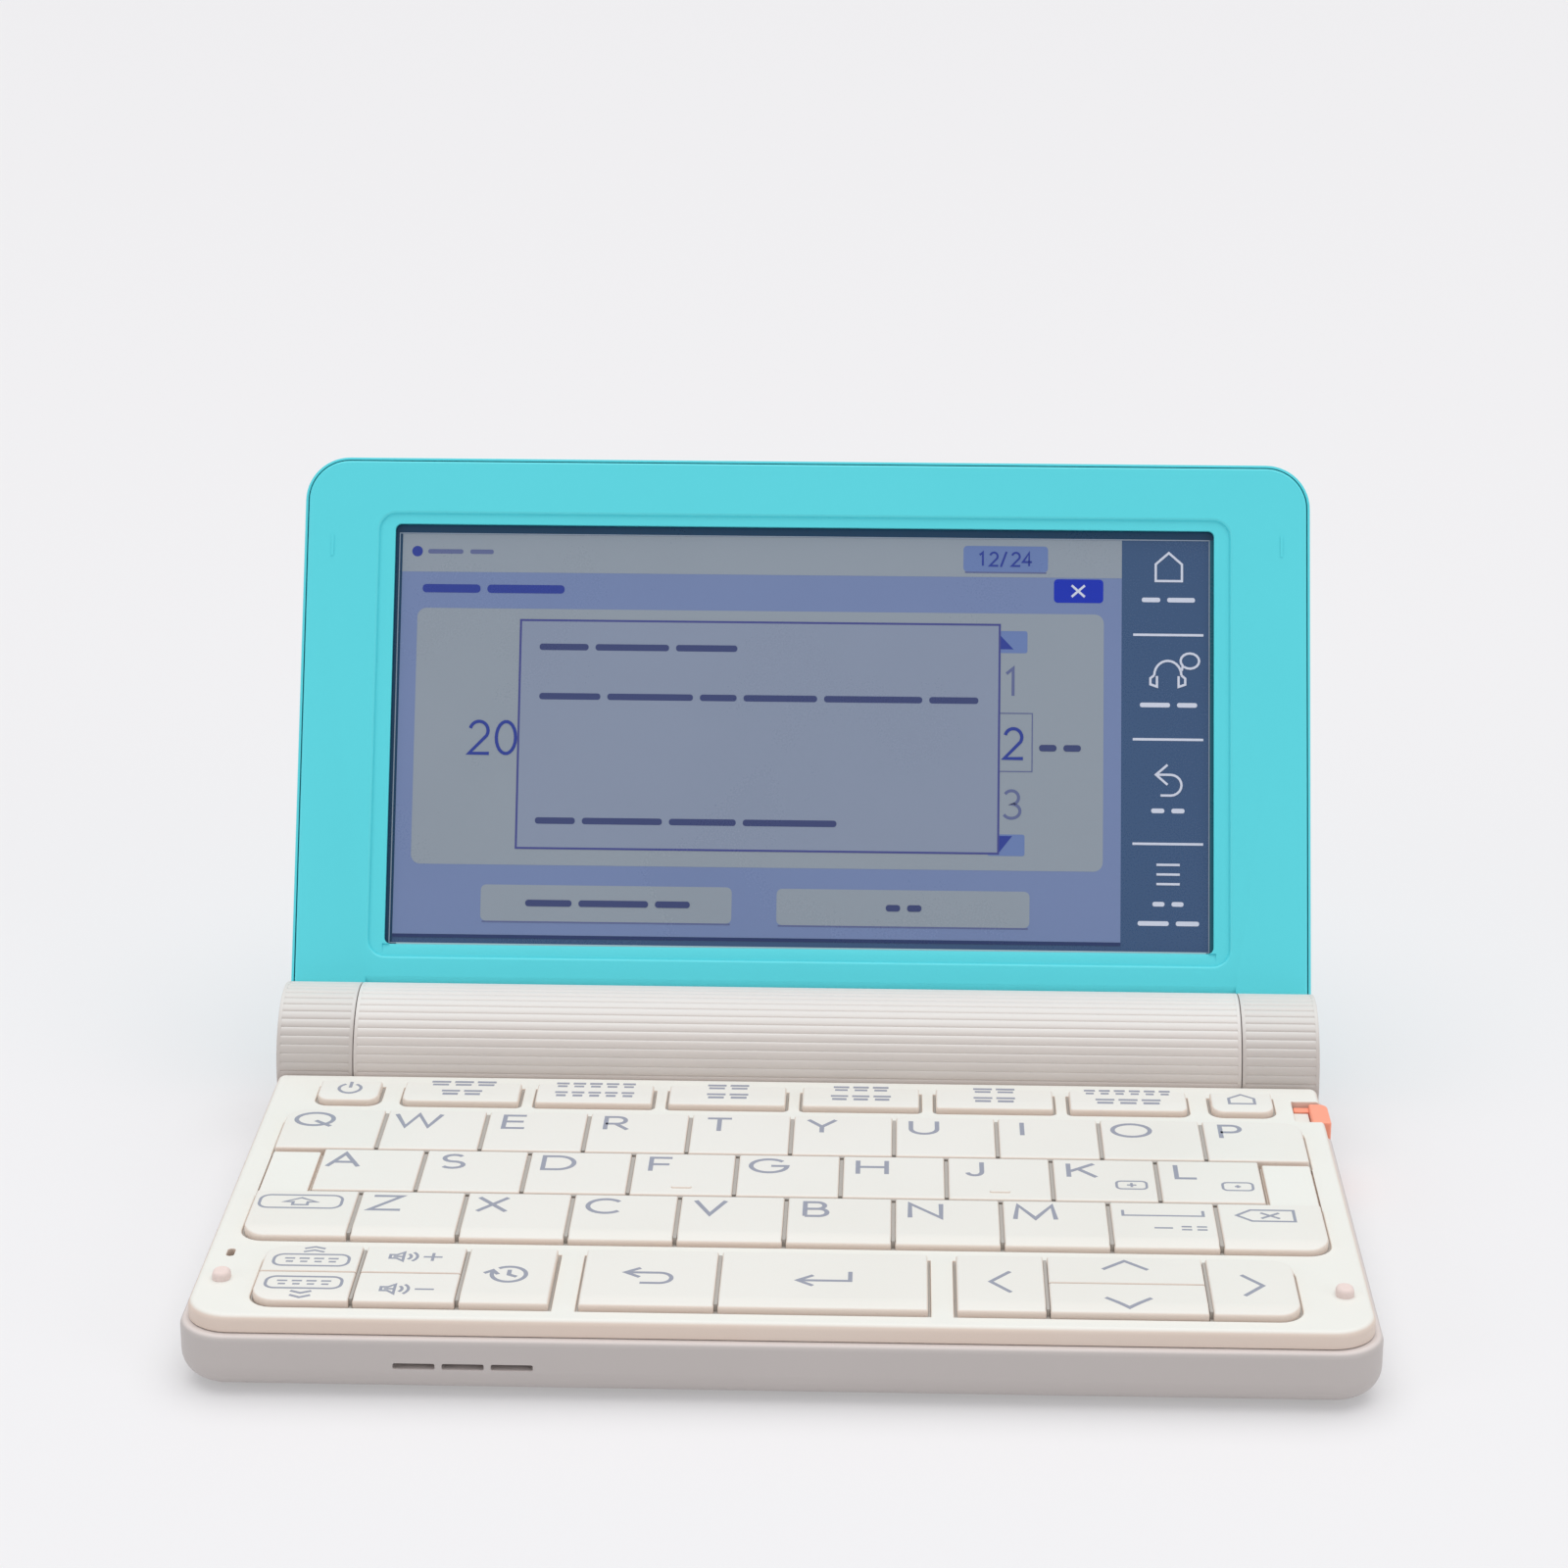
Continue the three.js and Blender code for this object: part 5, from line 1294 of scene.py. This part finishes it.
# %% Letters on a unit height
LETTERS = {
    "a": [[(0, 0), (0.49, 1), (0.98, 0)], [(0.17, 0.34), (0.81, 0.34)]],
    "b": [[(0, 0), (0, 1), (0.36, 1)] + arc(0.36, 0.76, 0.24, 0.24, 90, -90) + [(0, 0.52)],
          [(0, 0.52), (0.42, 0.52)] + arc(0.42, 0.26, 0.26, 0.26, 90, -90) + [(0, 0)]],
    "c": [arc(0.55, 0.5, 0.55, 0.5, 42, 318, 22)],
    "d": [[(0, 0), (0, 1), (0.44, 1)] + arc(0.44, 0.5, 0.52, 0.5, 90, -90, 14) + [(0, 0)]],
    "e": [[(0.68, 1), (0, 1), (0, 0), (0.68, 0)], [(0, 0.52), (0.62, 0.52)]],
    "f": [[(0.65, 1), (0, 1), (0, 0)], [(0, 0.5), (0.58, 0.5)]],
    "g": [arc(0.57, 0.5, 0.57, 0.5, 42, 360, 24) + [(0.64, 0.5)]],
    "h": [[(0, 0), (0, 1)], [(0.9, 0), (0.9, 1)], [(0, 0.52), (0.9, 0.52)]],
    "i": [[(0, 0), (0, 1)]],
    "j": [[(0.46, 1), (0.46, 0.27)] + arc(0.23, 0.27, 0.23, 0.27, 0, -165)],
    "k": [[(0, 0), (0, 1)], [(0.8, 1), (0.05, 0.42)], [(0.3, 0.6), (0.85, 0)]],
    "l": [[(0, 1), (0, 0), (0.62, 0)]],
    "m": [[(0, 0), (0.1, 1), (0.62, 0.05), (1.14, 1), (1.24, 0)]],
    "n": [[(0, 0), (0, 1), (0.95, 0), (0.95, 1)]],
    "o": [arc(0.6, 0.5, 0.6, 0.5, 0, 360, 28)],
    "p": [[(0, 0), (0, 1), (0.36, 1)] + arc(0.36, 0.73, 0.27, 0.27, 90, -90) + [(0, 0.46)]],
    "q": [arc(0.6, 0.5, 0.6, 0.5, 0, 360, 28), [(0.64, 0.38), (1.17, -0.05)]],
    "r": [[(0, 0), (0, 1), (0.36, 1)] + arc(0.36, 0.73, 0.27, 0.27, 90, -90) + [(0, 0.46)],
          [(0.32, 0.46), (0.72, 0)]],
    "s": [arc(0.36, 0.745, 0.3, 0.255, 35, 270, 12) + arc(0.36, 0.245, 0.34, 0.245, 90, -145, 12)[1:]],
    "t": [[(0, 1), (0.78, 1)], [(0.39, 1), (0.39, 0)]],
    "u": [[(0, 1), (0, 0.38)] + arc(0.42, 0.38, 0.42, 0.38, 180, 360, 14) + [(0.84, 1)]],
    "v": [[(0, 1), (0.46, 0), (0.92, 1)]],
    "w": [[(0, 1), (0.36, 0), (0.73, 1), (1.1, 0), (1.46, 1)]],
    "x": [[(0, 0), (0.88, 1)], [(0, 1), (0.88, 0)]],
    "y": [[(0, 1), (0.44, 0.45), (0.88, 1)], [(0.44, 0.45), (0.44, 0)]],
    "z": [[(0.05, 1), (0.92, 1), (0, 0), (0.96, 0)]],
}
LETTER_HEIGHT, STROKE, TINY_STROKE = 3.75, 0.55, 0.3
LETTER_REAR, LETTER_LEAD, LETTER_SPREAD = 1.32, 2.75, 0.2
SHIFTED = {"a": -0.75, "x": -0.35, "z": -0.35, "i": 0.1}

ink = moulded("legend_ink", (0.30, 0.315, 0.385), (0.27, 0.285, 0.35), 0.5, grains=10.0)


def legend(key, paths, width=STROKE, name=None):
    """Prints strokes, given in place, on the top of a key. They follow the slope at its front."""
    printed = make(name or key.replace("key_", "legend_"),
                   strokes(paths, width, CAP_TOP - INK_UNDER, CAP_TOP + INK_PROUD))
    slope_front(printed, key)
    dress(printed, ink, key)


def small_screen(x, y, dot):
    """The small framed cross beside the letters k and l."""
    return [boxed(x - 1.75, x + 1.75, y - 1.1, y + 1.1, 0.6, 4),
            [(x - dot, y), (x + dot, y)], [(x, y - dot), (x, y + dot)]]


SMALL_SCREENS = {"k": 0.55, "l": 0.35}
SCREEN_FROM_LEFT, SCREEN_FROM_FRONT = 9.0, 4.35
for key in sum(LETTER_ROWS, []):
    letter = key.replace("key_", "")
    if letter not in LETTERS:
        continue
    low, high = span(key)
    wide = max(x for path in LETTERS[letter] for x, y in path) * LETTER_HEIGHT
    left = low[0] + LETTER_LEAD + LETTER_SPREAD * wide - wide / 2 + SHIFTED.get(letter, 0)
    legend(key, scaled(LETTERS[letter], LETTER_HEIGHT, left, high[1] - LETTER_REAR - LETTER_HEIGHT))
    if letter in SMALL_SCREENS:
        beside = small_screen(low[0] + SCREEN_FROM_LEFT, low[1] + SCREEN_FROM_FRONT, SMALL_SCREENS[letter])
        legend(key, beside, TINY_STROKE, key.replace("key_", "sign_"))
print("letters:", sum(key[-2] == "_" for row in LETTER_ROWS for key in row))

# %% Signs on the other keys, each drawn about the middle of its key
SIGN_STROKE, FINE_STROKE, MARK_STROKE, SMALL_STROKE = 0.48, 0.34, 0.52, 0.36


def dashes(x0, x1, y, count, gap=0.55):
    step = (x1 - x0 + gap) / count
    return [[(x0 + i * step, y), (x0 + (i + 1) * step - gap, y)] for i in range(count)]


def sign(key, paths, width=SIGN_STROKE, dx=0.0, dy=0.0):
    """Prints paths about the middle of a key, or about a point that much away from it."""
    x, y = middle(key)
    legend(key, scaled(paths, 1.0, x + dx, y + dy), width)


sign("key_power", [arc(0, 0.3, 1.35, 1.4, 118, 422, 26), [(0, 0.5), (0, 2.3)]], 0.4)
sign("key_home", [[(-1.55, -0.7), (-1.55, 0.9), (0, 2.1), (1.55, 0.9), (1.55, -0.7), (-1.55, -0.7)]],
     SMALL_STROKE)

# two lines of marks on each category key: the width and the count of the upper and of the lower line
CATEGORY_MARKS = ((8.0, 3, 5.0, 2), (9.8, 5, 9.8, 5), (5.1, 2, 5.1, 2), (6.8, 3, 7.4, 3), (5.1, 2, 5.1, 2),
                  (10.6, 6, 8.0, 3))
for key, (top_wide, top_count, low_wide, low_count) in zip(TOP_KEYS[1:-1], CATEGORY_MARKS):
    marks = []
    for wide, count, rise in ((top_wide, top_count, 2.3), (low_wide, low_count, -0.5)):
        for lift, trim in ((0.45, 0.0), (-0.45, 0.18)):
            marks += dashes(trim - wide / 2, wide / 2 - trim, rise + lift, count, 0.5 + 2 * trim)
    sign(key, marks, MARK_STROKE)

sign("key_shift", [boxed(-4.75, 4.75, -1.75, 1.75, 1.2),
                   [(-1.9, -0.1), (0, 1.0), (1.9, -0.1), (0.85, -0.1), (0.85, -0.9), (-0.85, -0.9),
                    (-0.85, -0.1), (-1.9, -0.1)]], FINE_STROKE, -0.4, 2.625)
sign("key_space", [[(-4.6, 1.4), (-4.6, 0.0), (4.6, 0.0), (4.6, 1.4)], [(-1.2, -3.3), (0.9, -3.3)],
                   *dashes(1.9, 4.8, -2.9, 2, 0.6), *dashes(1.9, 4.8, -3.7, 2, 0.6)],
     FINE_STROKE, 0.0, 2.175)
DELETE_FROM_LEFT = 5.6
sign("key_delete", [[(-3.6, 0), (-1.9, 1.5), (3.0, 1.5), (3.0, -1.5), (-1.9, -1.5), (-3.6, 0)],
                    [(-0.8, 0.75), (1.3, -0.75)], [(-0.8, -0.75), (1.3, 0.75)]],
     SMALL_STROKE, span("key_delete")[0][0] + DELETE_FROM_LEFT - middle("key_delete")[0], 2.575)

marks = []
for way, row in ((1, 2.875), (-1, -2.825)):
    marks.append(boxed(-4.2, 4.2, row - 1.45, row + 1.45, 1.1))
    marks += dashes(-3.0, 3.0, row + 0.4, 4, 0.5) + dashes(-2.8, 2.8, row - 0.4, 4, 0.8)
    for tip in (row + way * 2.55, row + way * 3.4):
        marks.append([(-1.15, tip - way * 0.45), (0, tip), (1.15, tip - way * 0.45)])
sign("key_heading", marks, FINE_STROKE)

marks = []
for row in (4.1, -4.1):
    marks += [[(-2.75, row - 0.45), (-2.0, row - 0.45), (-1.25, row - 1.1), (-1.25, row + 1.1),
               (-2.0, row + 0.45), (-2.75, row + 0.45), (-2.75, row - 0.45)],
              [(-2.4, row), (-1.3, row)], arc(-1.3, row, 0.9, 0.9, -48, 48, 5),
              arc(-1.3, row, 1.6, 1.55, -46, 46, 6), [(1.0, row), (3.1, row)]]
    if row > 0:
        marks.append([(2.05, row - 1.0), (2.05, row + 1.0)])
sign("key_volume", marks, FINE_STROKE)

sign("key_history", [arc(0, 0, 1.9, 1.9, 160, 490, 26), [(-2.75, 0.2), (-1.85, 0.95), (-1.2, -0.05)],
                     [(0, 1.1), (0, -0.1), (0.9, -0.6)]])
sign("key_back", [[(-1.1, 2.1), (-2.7, 0.95), (-1.1, -0.2)],
                  [(-2.6, 0.95), (1.1, 0.95)] + arc(1.1, -0.35, 1.35, 1.3, 90, -90, 12) + [(-1.0, -1.65)]])
sign("key_enter", [[(-1.2, 0.9), (-2.9, -0.4), (-1.2, -1.7)], [(-2.8, -0.4), (2.9, -0.4), (2.9, 1.9)]])
sign("key_left", [[(1.1, 2.6), (-1.1, 0), (1.1, -2.6)]])
sign("key_right", [[(-1.1, 2.6), (1.1, 0), (-1.1, -2.6)]])
sign("key_up_down", [[(-2.5, way * 3.55), (0, way * 5.75), (2.5, way * 3.55)] for way in (1, -1)])

# %% [markdown]
# The display shows a plain settings page: a status bar, a title band, a panel with a message box and
# a wheel of numbers, two buttons, and a strip of touch signs at the right. Lines of text are bars,
# as in a designer's mock-up, beside plain numbers. Each layer lies a hair above the one below.

# %% Display layers
LAYER, LAYER_ROOT, BAR_GAP, BAR_ROUND = 0.012, 0.1, 0.9, 0.45
LCD_LEFT, LCD_RIGHT, LCD_LOW, LCD_HIGH = -52.75, 41.2, 15.3, 67.8

lcd_colors = {
    "lcd_violet": (0.168, 0.228, 0.415), "lcd_grey": (0.275, 0.320, 0.376),
    "lcd_dialog": (0.238, 0.285, 0.390), "lcd_button": (0.135, 0.205, 0.430),
    "lcd_blue": (0.0, 0.022, 0.43), "lcd_text": (0.040, 0.056, 0.165),
    "lcd_number": (0.022, 0.045, 0.29), "lcd_line": (0.055, 0.065, 0.25),
    "lcd_faint": (0.11, 0.135, 0.28), "lcd_white": (0.62, 0.66, 0.78),
    "lcd_border_and_wall_shade": (0.0, 0.042, 0.105), "lcd_edge_highlight": (0.27, 0.33, 0.42),
    "lcd_rim_highlight": (0.45, 0.66, 0.70), "lcd_navy": (0.016, 0.034, 0.125),
    "lcd_wall_shade_teal": (0.0, 0.115, 0.17),
}
lcd = {name: moulded(name, color, tuple(c * 0.95 for c in color), 0.3, grains=4.0, handling=0.6, coat=0.15)
       for name, color in lcd_colors.items()}


def lit(name, color, level, outlines=(), paths=(), width=0.3, fills=()):
    """Boxes, ribbons and filled outlines on the glass, in (u, v): u to the right, v up from the hinge."""
    front, back = glass_front - level * LAYER, glass_front + LAYER_ROOT
    solids = [slab(rounded(u0, u1, -v1, -v0, (corner,) * 4, 5), front, back)
              for u0, u1, v0, v1, corner in outlines]
    solids += [loft([[(u, -v, z) for u, v in reversed(fill)] for z in (front, back)]) for fill in fills]
    solids += [ribbon([(u, -v) for u, v in path], width, front - i % 3 * LAYER / 4, back)
               for i, path in enumerate(paths)]
    dress(make(name, together(*solids), to_lid), lcd[color], "lid")


def text_lines(rows, height):
    """Bars for several lines of text, each row given by its two ends, its middle and its shares."""
    return [bar for u0, u1, v, shares in rows for bar in text_bars(u0, u1, v, height, shares)]


def text_bars(u0, u1, v, height, shares):
    """Bars for one line of text, of unlike length, parted by even gaps."""
    room = u1 - u0 - BAR_GAP * (len(shares) - 1)
    bars, u = [], u0
    for share in shares:
        long = room * share / sum(shares)
        bars.append((u, u + long, v - height / 2, v + height / 2, height * BAR_ROUND))
        u += long + BAR_GAP
    return bars


lit("screen_page", "lcd_violet", 1, [(LCD_LEFT, LCD_RIGHT, LCD_LOW, LCD_HIGH, 0.0)])
lit("screen_panels", "lcd_grey", 2, [
    (LCD_LEFT, LCD_RIGHT, 62.8, LCD_HIGH, 0.0), (-50.6, 38.9, 24.4, 58.0, 1.2),
    (-41.4, -8.9, 17.1, 21.8, 0.7), (-3.1, 29.5, 17.0, 21.7, 0.7)])
lit("screen_tabs", "lcd_button", 3, [(20.6, 31.6, 63.5, 66.9, 0.5), (24.0, 29.0, 52.8, 55.7, 0.3),
                                     (24.0, 28.8, 26.3, 29.1, 0.3)])
lit("screen_close", "lcd_blue", 3, [(32.4, 38.8, 59.5, 62.6, 0.5)])
lit("screen_up_down", "lcd_number", 4, fills=[[(25.5, 53.3), (27.2, 53.3), (25.5, 55.1)],
                                              [(25.5, 28.9), (25.5, 26.7), (27.2, 28.9)]])
lit("screen_message", "lcd_dialog", 4, [(-37.0, 25.4, 26.6, 56.5, 0.0)])
lit("screen_shade_lines", "lcd_faint", 3, paths=[
    [(-41.2, 17.0), (-9.1, 17.0)], [(-2.9, 16.9), (29.3, 16.9)], [(20.8, 63.4), (31.4, 63.4)]], width=0.2)
lit("screen_frame_lines", "lcd_line", 5, paths=[
    [(-37.0, 26.6), (25.4, 26.6), (25.4, 56.5), (-37.0, 56.5), (-37.0, 26.6)]], width=0.26)
BORDER = 1.2
# The dark band round the window at top and left is the glass's black print border together with painted shade
# that the bezel wall casts on the glass.
lit("screen_border_and_wall_shade", "lcd_border_and_wall_shade", 2, [
    (-WINDOW_SIDE - BORDER, WINDOW_SIDE + BORDER, LCD_HIGH + 0.15, WINDOW_TOP + BORDER, 0.0),
    (-WINDOW_SIDE - BORDER, LCD_LEFT - 0.02, WINDOW_BOTTOM - BORDER, LCD_HIGH + 0.13, 0.0)])
# At the right the border band is painted teal shade from the turquoise bezel wall beside it.
lit("screen_side_wall_shade", "lcd_wall_shade_teal", 2, [
    (WINDOW_SIDE - 0.45, WINDOW_SIDE + BORDER, WINDOW_BOTTOM - BORDER, LCD_HIGH + 0.13, 0.0)])
# A thin light line round the window, just inside the dark band, is a painted highlight along the glass edge.
EDGE_LEFT, EDGE_RIGHT = LCD_LEFT - 0.38, WINDOW_SIDE - 0.55
lit("screen_edge_highlight", "lcd_edge_highlight", 6, paths=[
    [(EDGE_LEFT, WINDOW_BOTTOM + 0.2), (EDGE_LEFT, LCD_HIGH + 0.08), (EDGE_RIGHT, LCD_HIGH + 0.08),
     (EDGE_RIGHT, WINDOW_BOTTOM + 0.2), (EDGE_LEFT, WINDOW_BOTTOM + 0.2)]], width=0.13)
lit("screen_foot_line", "lcd_navy", 5, paths=[
    [(LCD_LEFT, LCD_LOW - 0.25), (LCD_RIGHT, LCD_LOW - 0.25)]], width=0.4)
# A light line along the window's lower edge is a painted highlight on the glass edge.
lit("screen_rim_highlight", "lcd_rim_highlight", 7, paths=[
    [(-WINDOW_SIDE + 0.9, WINDOW_BOTTOM + 0.12), (WINDOW_SIDE - 0.9, WINDOW_BOTTOM + 0.12)]], width=0.2)
lit("screen_wheel_frame", "lcd_faint", 4, paths=[
    [(25.5, 37.3), (29.7, 37.3), (29.7, 44.9), (25.5, 44.9)]], width=0.14)

# %% Bars for text, strokes for numbers
BAR, SMALL_BAR, TITLE_BAR = 0.85, 0.6, 1.1
lit("screen_text", "lcd_text", 5, text_lines((
    (-34.5, -8.7, 53.0, (4, 6, 5)), (-34.4, 22.7, 46.5, (5, 7, 3, 6, 8, 4)), (-34.6, 4.5, 30.2, (3, 6, 5, 7)),
    (-35.6, -14.3, 19.45, (4, 6, 3)), (11.0, 15.6, 19.35, (1, 1)), (30.6, 36.0, 40.4, (1, 1))), BAR))
lit("screen_status_text", "lcd_faint", 3, text_bars(-49.4, -40.8, 65.5, SMALL_BAR, (3, 2)))
lit("screen_title", "lcd_number", 3,
    text_bars(-50.0, -31.4, 60.6, TITLE_BAR, (3, 4)) + [(-51.5, -50.1, 64.8, 66.2, 0.68)])

DIGITS = {
    "0": [arc(0.3, 0.5, 0.3, 0.5, 0, 360, 22)],
    "1": [[(0.06, 0.8), (0.3, 1), (0.3, 0)]],
    "2": [arc(0.3, 0.71, 0.28, 0.29, 165, -32, 12) + [(0, 0), (0.62, 0)]],
    "3": [arc(0.27, 0.75, 0.26, 0.25, 150, -90, 12) + arc(0.27, 0.26, 0.31, 0.26, 90, -150, 14)[1:]],
    "4": [[(0.46, 0), (0.46, 1), (0, 0.3), (0.66, 0.3)]],
    "/": [[(0, -0.08), (0.42, 1.06)]],
}


def number(figures, u, v, height, spacing=0.84):
    paths = []
    for i, figure in enumerate(figures):
        paths += scaled(DIGITS[figure], height, u + i * spacing * height, v)
    return paths


lit("screen_number", "lcd_number", 5, width=0.42,
    paths=number("20", -43.4, 38.9, 4.2) + number("2", 26.1, 39.0, 3.9))
lit("screen_number_faint", "lcd_faint", 3, width=0.4,
    paths=number("1", 26.1, 47.2, 3.6) + number("3", 26.1, 31.2, 3.6))
lit("screen_clock_number", "lcd_number", 5, width=0.26, paths=number("12/24", 22.6, 64.3, 1.75, 0.82))

# %% The strip of touch signs
signs = [[(45.6, 62.5), (49.0, 62.5), (49.0, 64.7), (47.3, 66.2), (45.6, 64.7), (45.6, 62.5)],
         arc(47.2, 50.1, 1.75, 1.9, 0, 180, 14),
         [(45.45, 50.1), (44.95, 49.7), (44.95, 48.9), (45.8, 48.6), (45.8, 50.0)],
         [(48.95, 50.1), (49.45, 49.7), (49.45, 48.9), (48.6, 48.6), (48.6, 50.0)],
         arc(50.05, 52.0, 1.2, 1.0, 230, 580, 16) + [(49.0, 50.7)],
         [(47.2, 38.4), (45.7, 37.1), (47.2, 35.8)],
         [(45.8, 37.1), (47.6, 37.1)] + arc(47.6, 35.75, 1.4, 1.35, 90, -90, 10) + [(46.3, 34.4)],
         [(45.8, 25.4), (48.8, 25.4)], [(45.8, 24.15), (48.8, 24.15)], [(45.8, 22.9), (48.8, 22.9)],
         [(34.7, 60.3), (36.4, 61.8)], [(34.7, 61.8), (36.4, 60.3)]]
rules = [[(42.7, v), (51.8, v)] for v in (55.4, 41.7, 28.1)]
lit("screen_signs", "lcd_white", 5, paths=signs, width=0.3)
lit("screen_rules", "lcd_white", 2, text_lines((
    (43.8, 50.7, 60.0, (2, 3)), (43.6, 51.0, 46.2, (3, 2)), (45.1, 49.4, 32.4, (1, 1)),
    (45.3, 49.3, 20.3, (1, 1)), (43.4, 51.3, 17.8, (4, 3))), SMALL_BAR), rules, 0.32)

# %% Two small ridges on the bezel
RIDGE_HALF, RIDGE_LENGTH, RIDGE_PROUD, RIDGE_SUNK = 0.17, 2.7, 0.1, 0.3
ridges = [block(u - RIDGE_HALF, u + RIDGE_HALF, -v - RIDGE_LENGTH, -v, LID_FACE - RIDGE_PROUD,
                LID_FACE + RIDGE_SUNK) for u, v in ((-61.8, 64.6), (61.8, 65.6))]
dress(make("bezel_ridges", together(*ridges), to_lid), turquoise, "lid")

# %% Sizes
low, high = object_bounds()
print("visual box, mm:", [round(side * 1000, 1) for side in high - low])
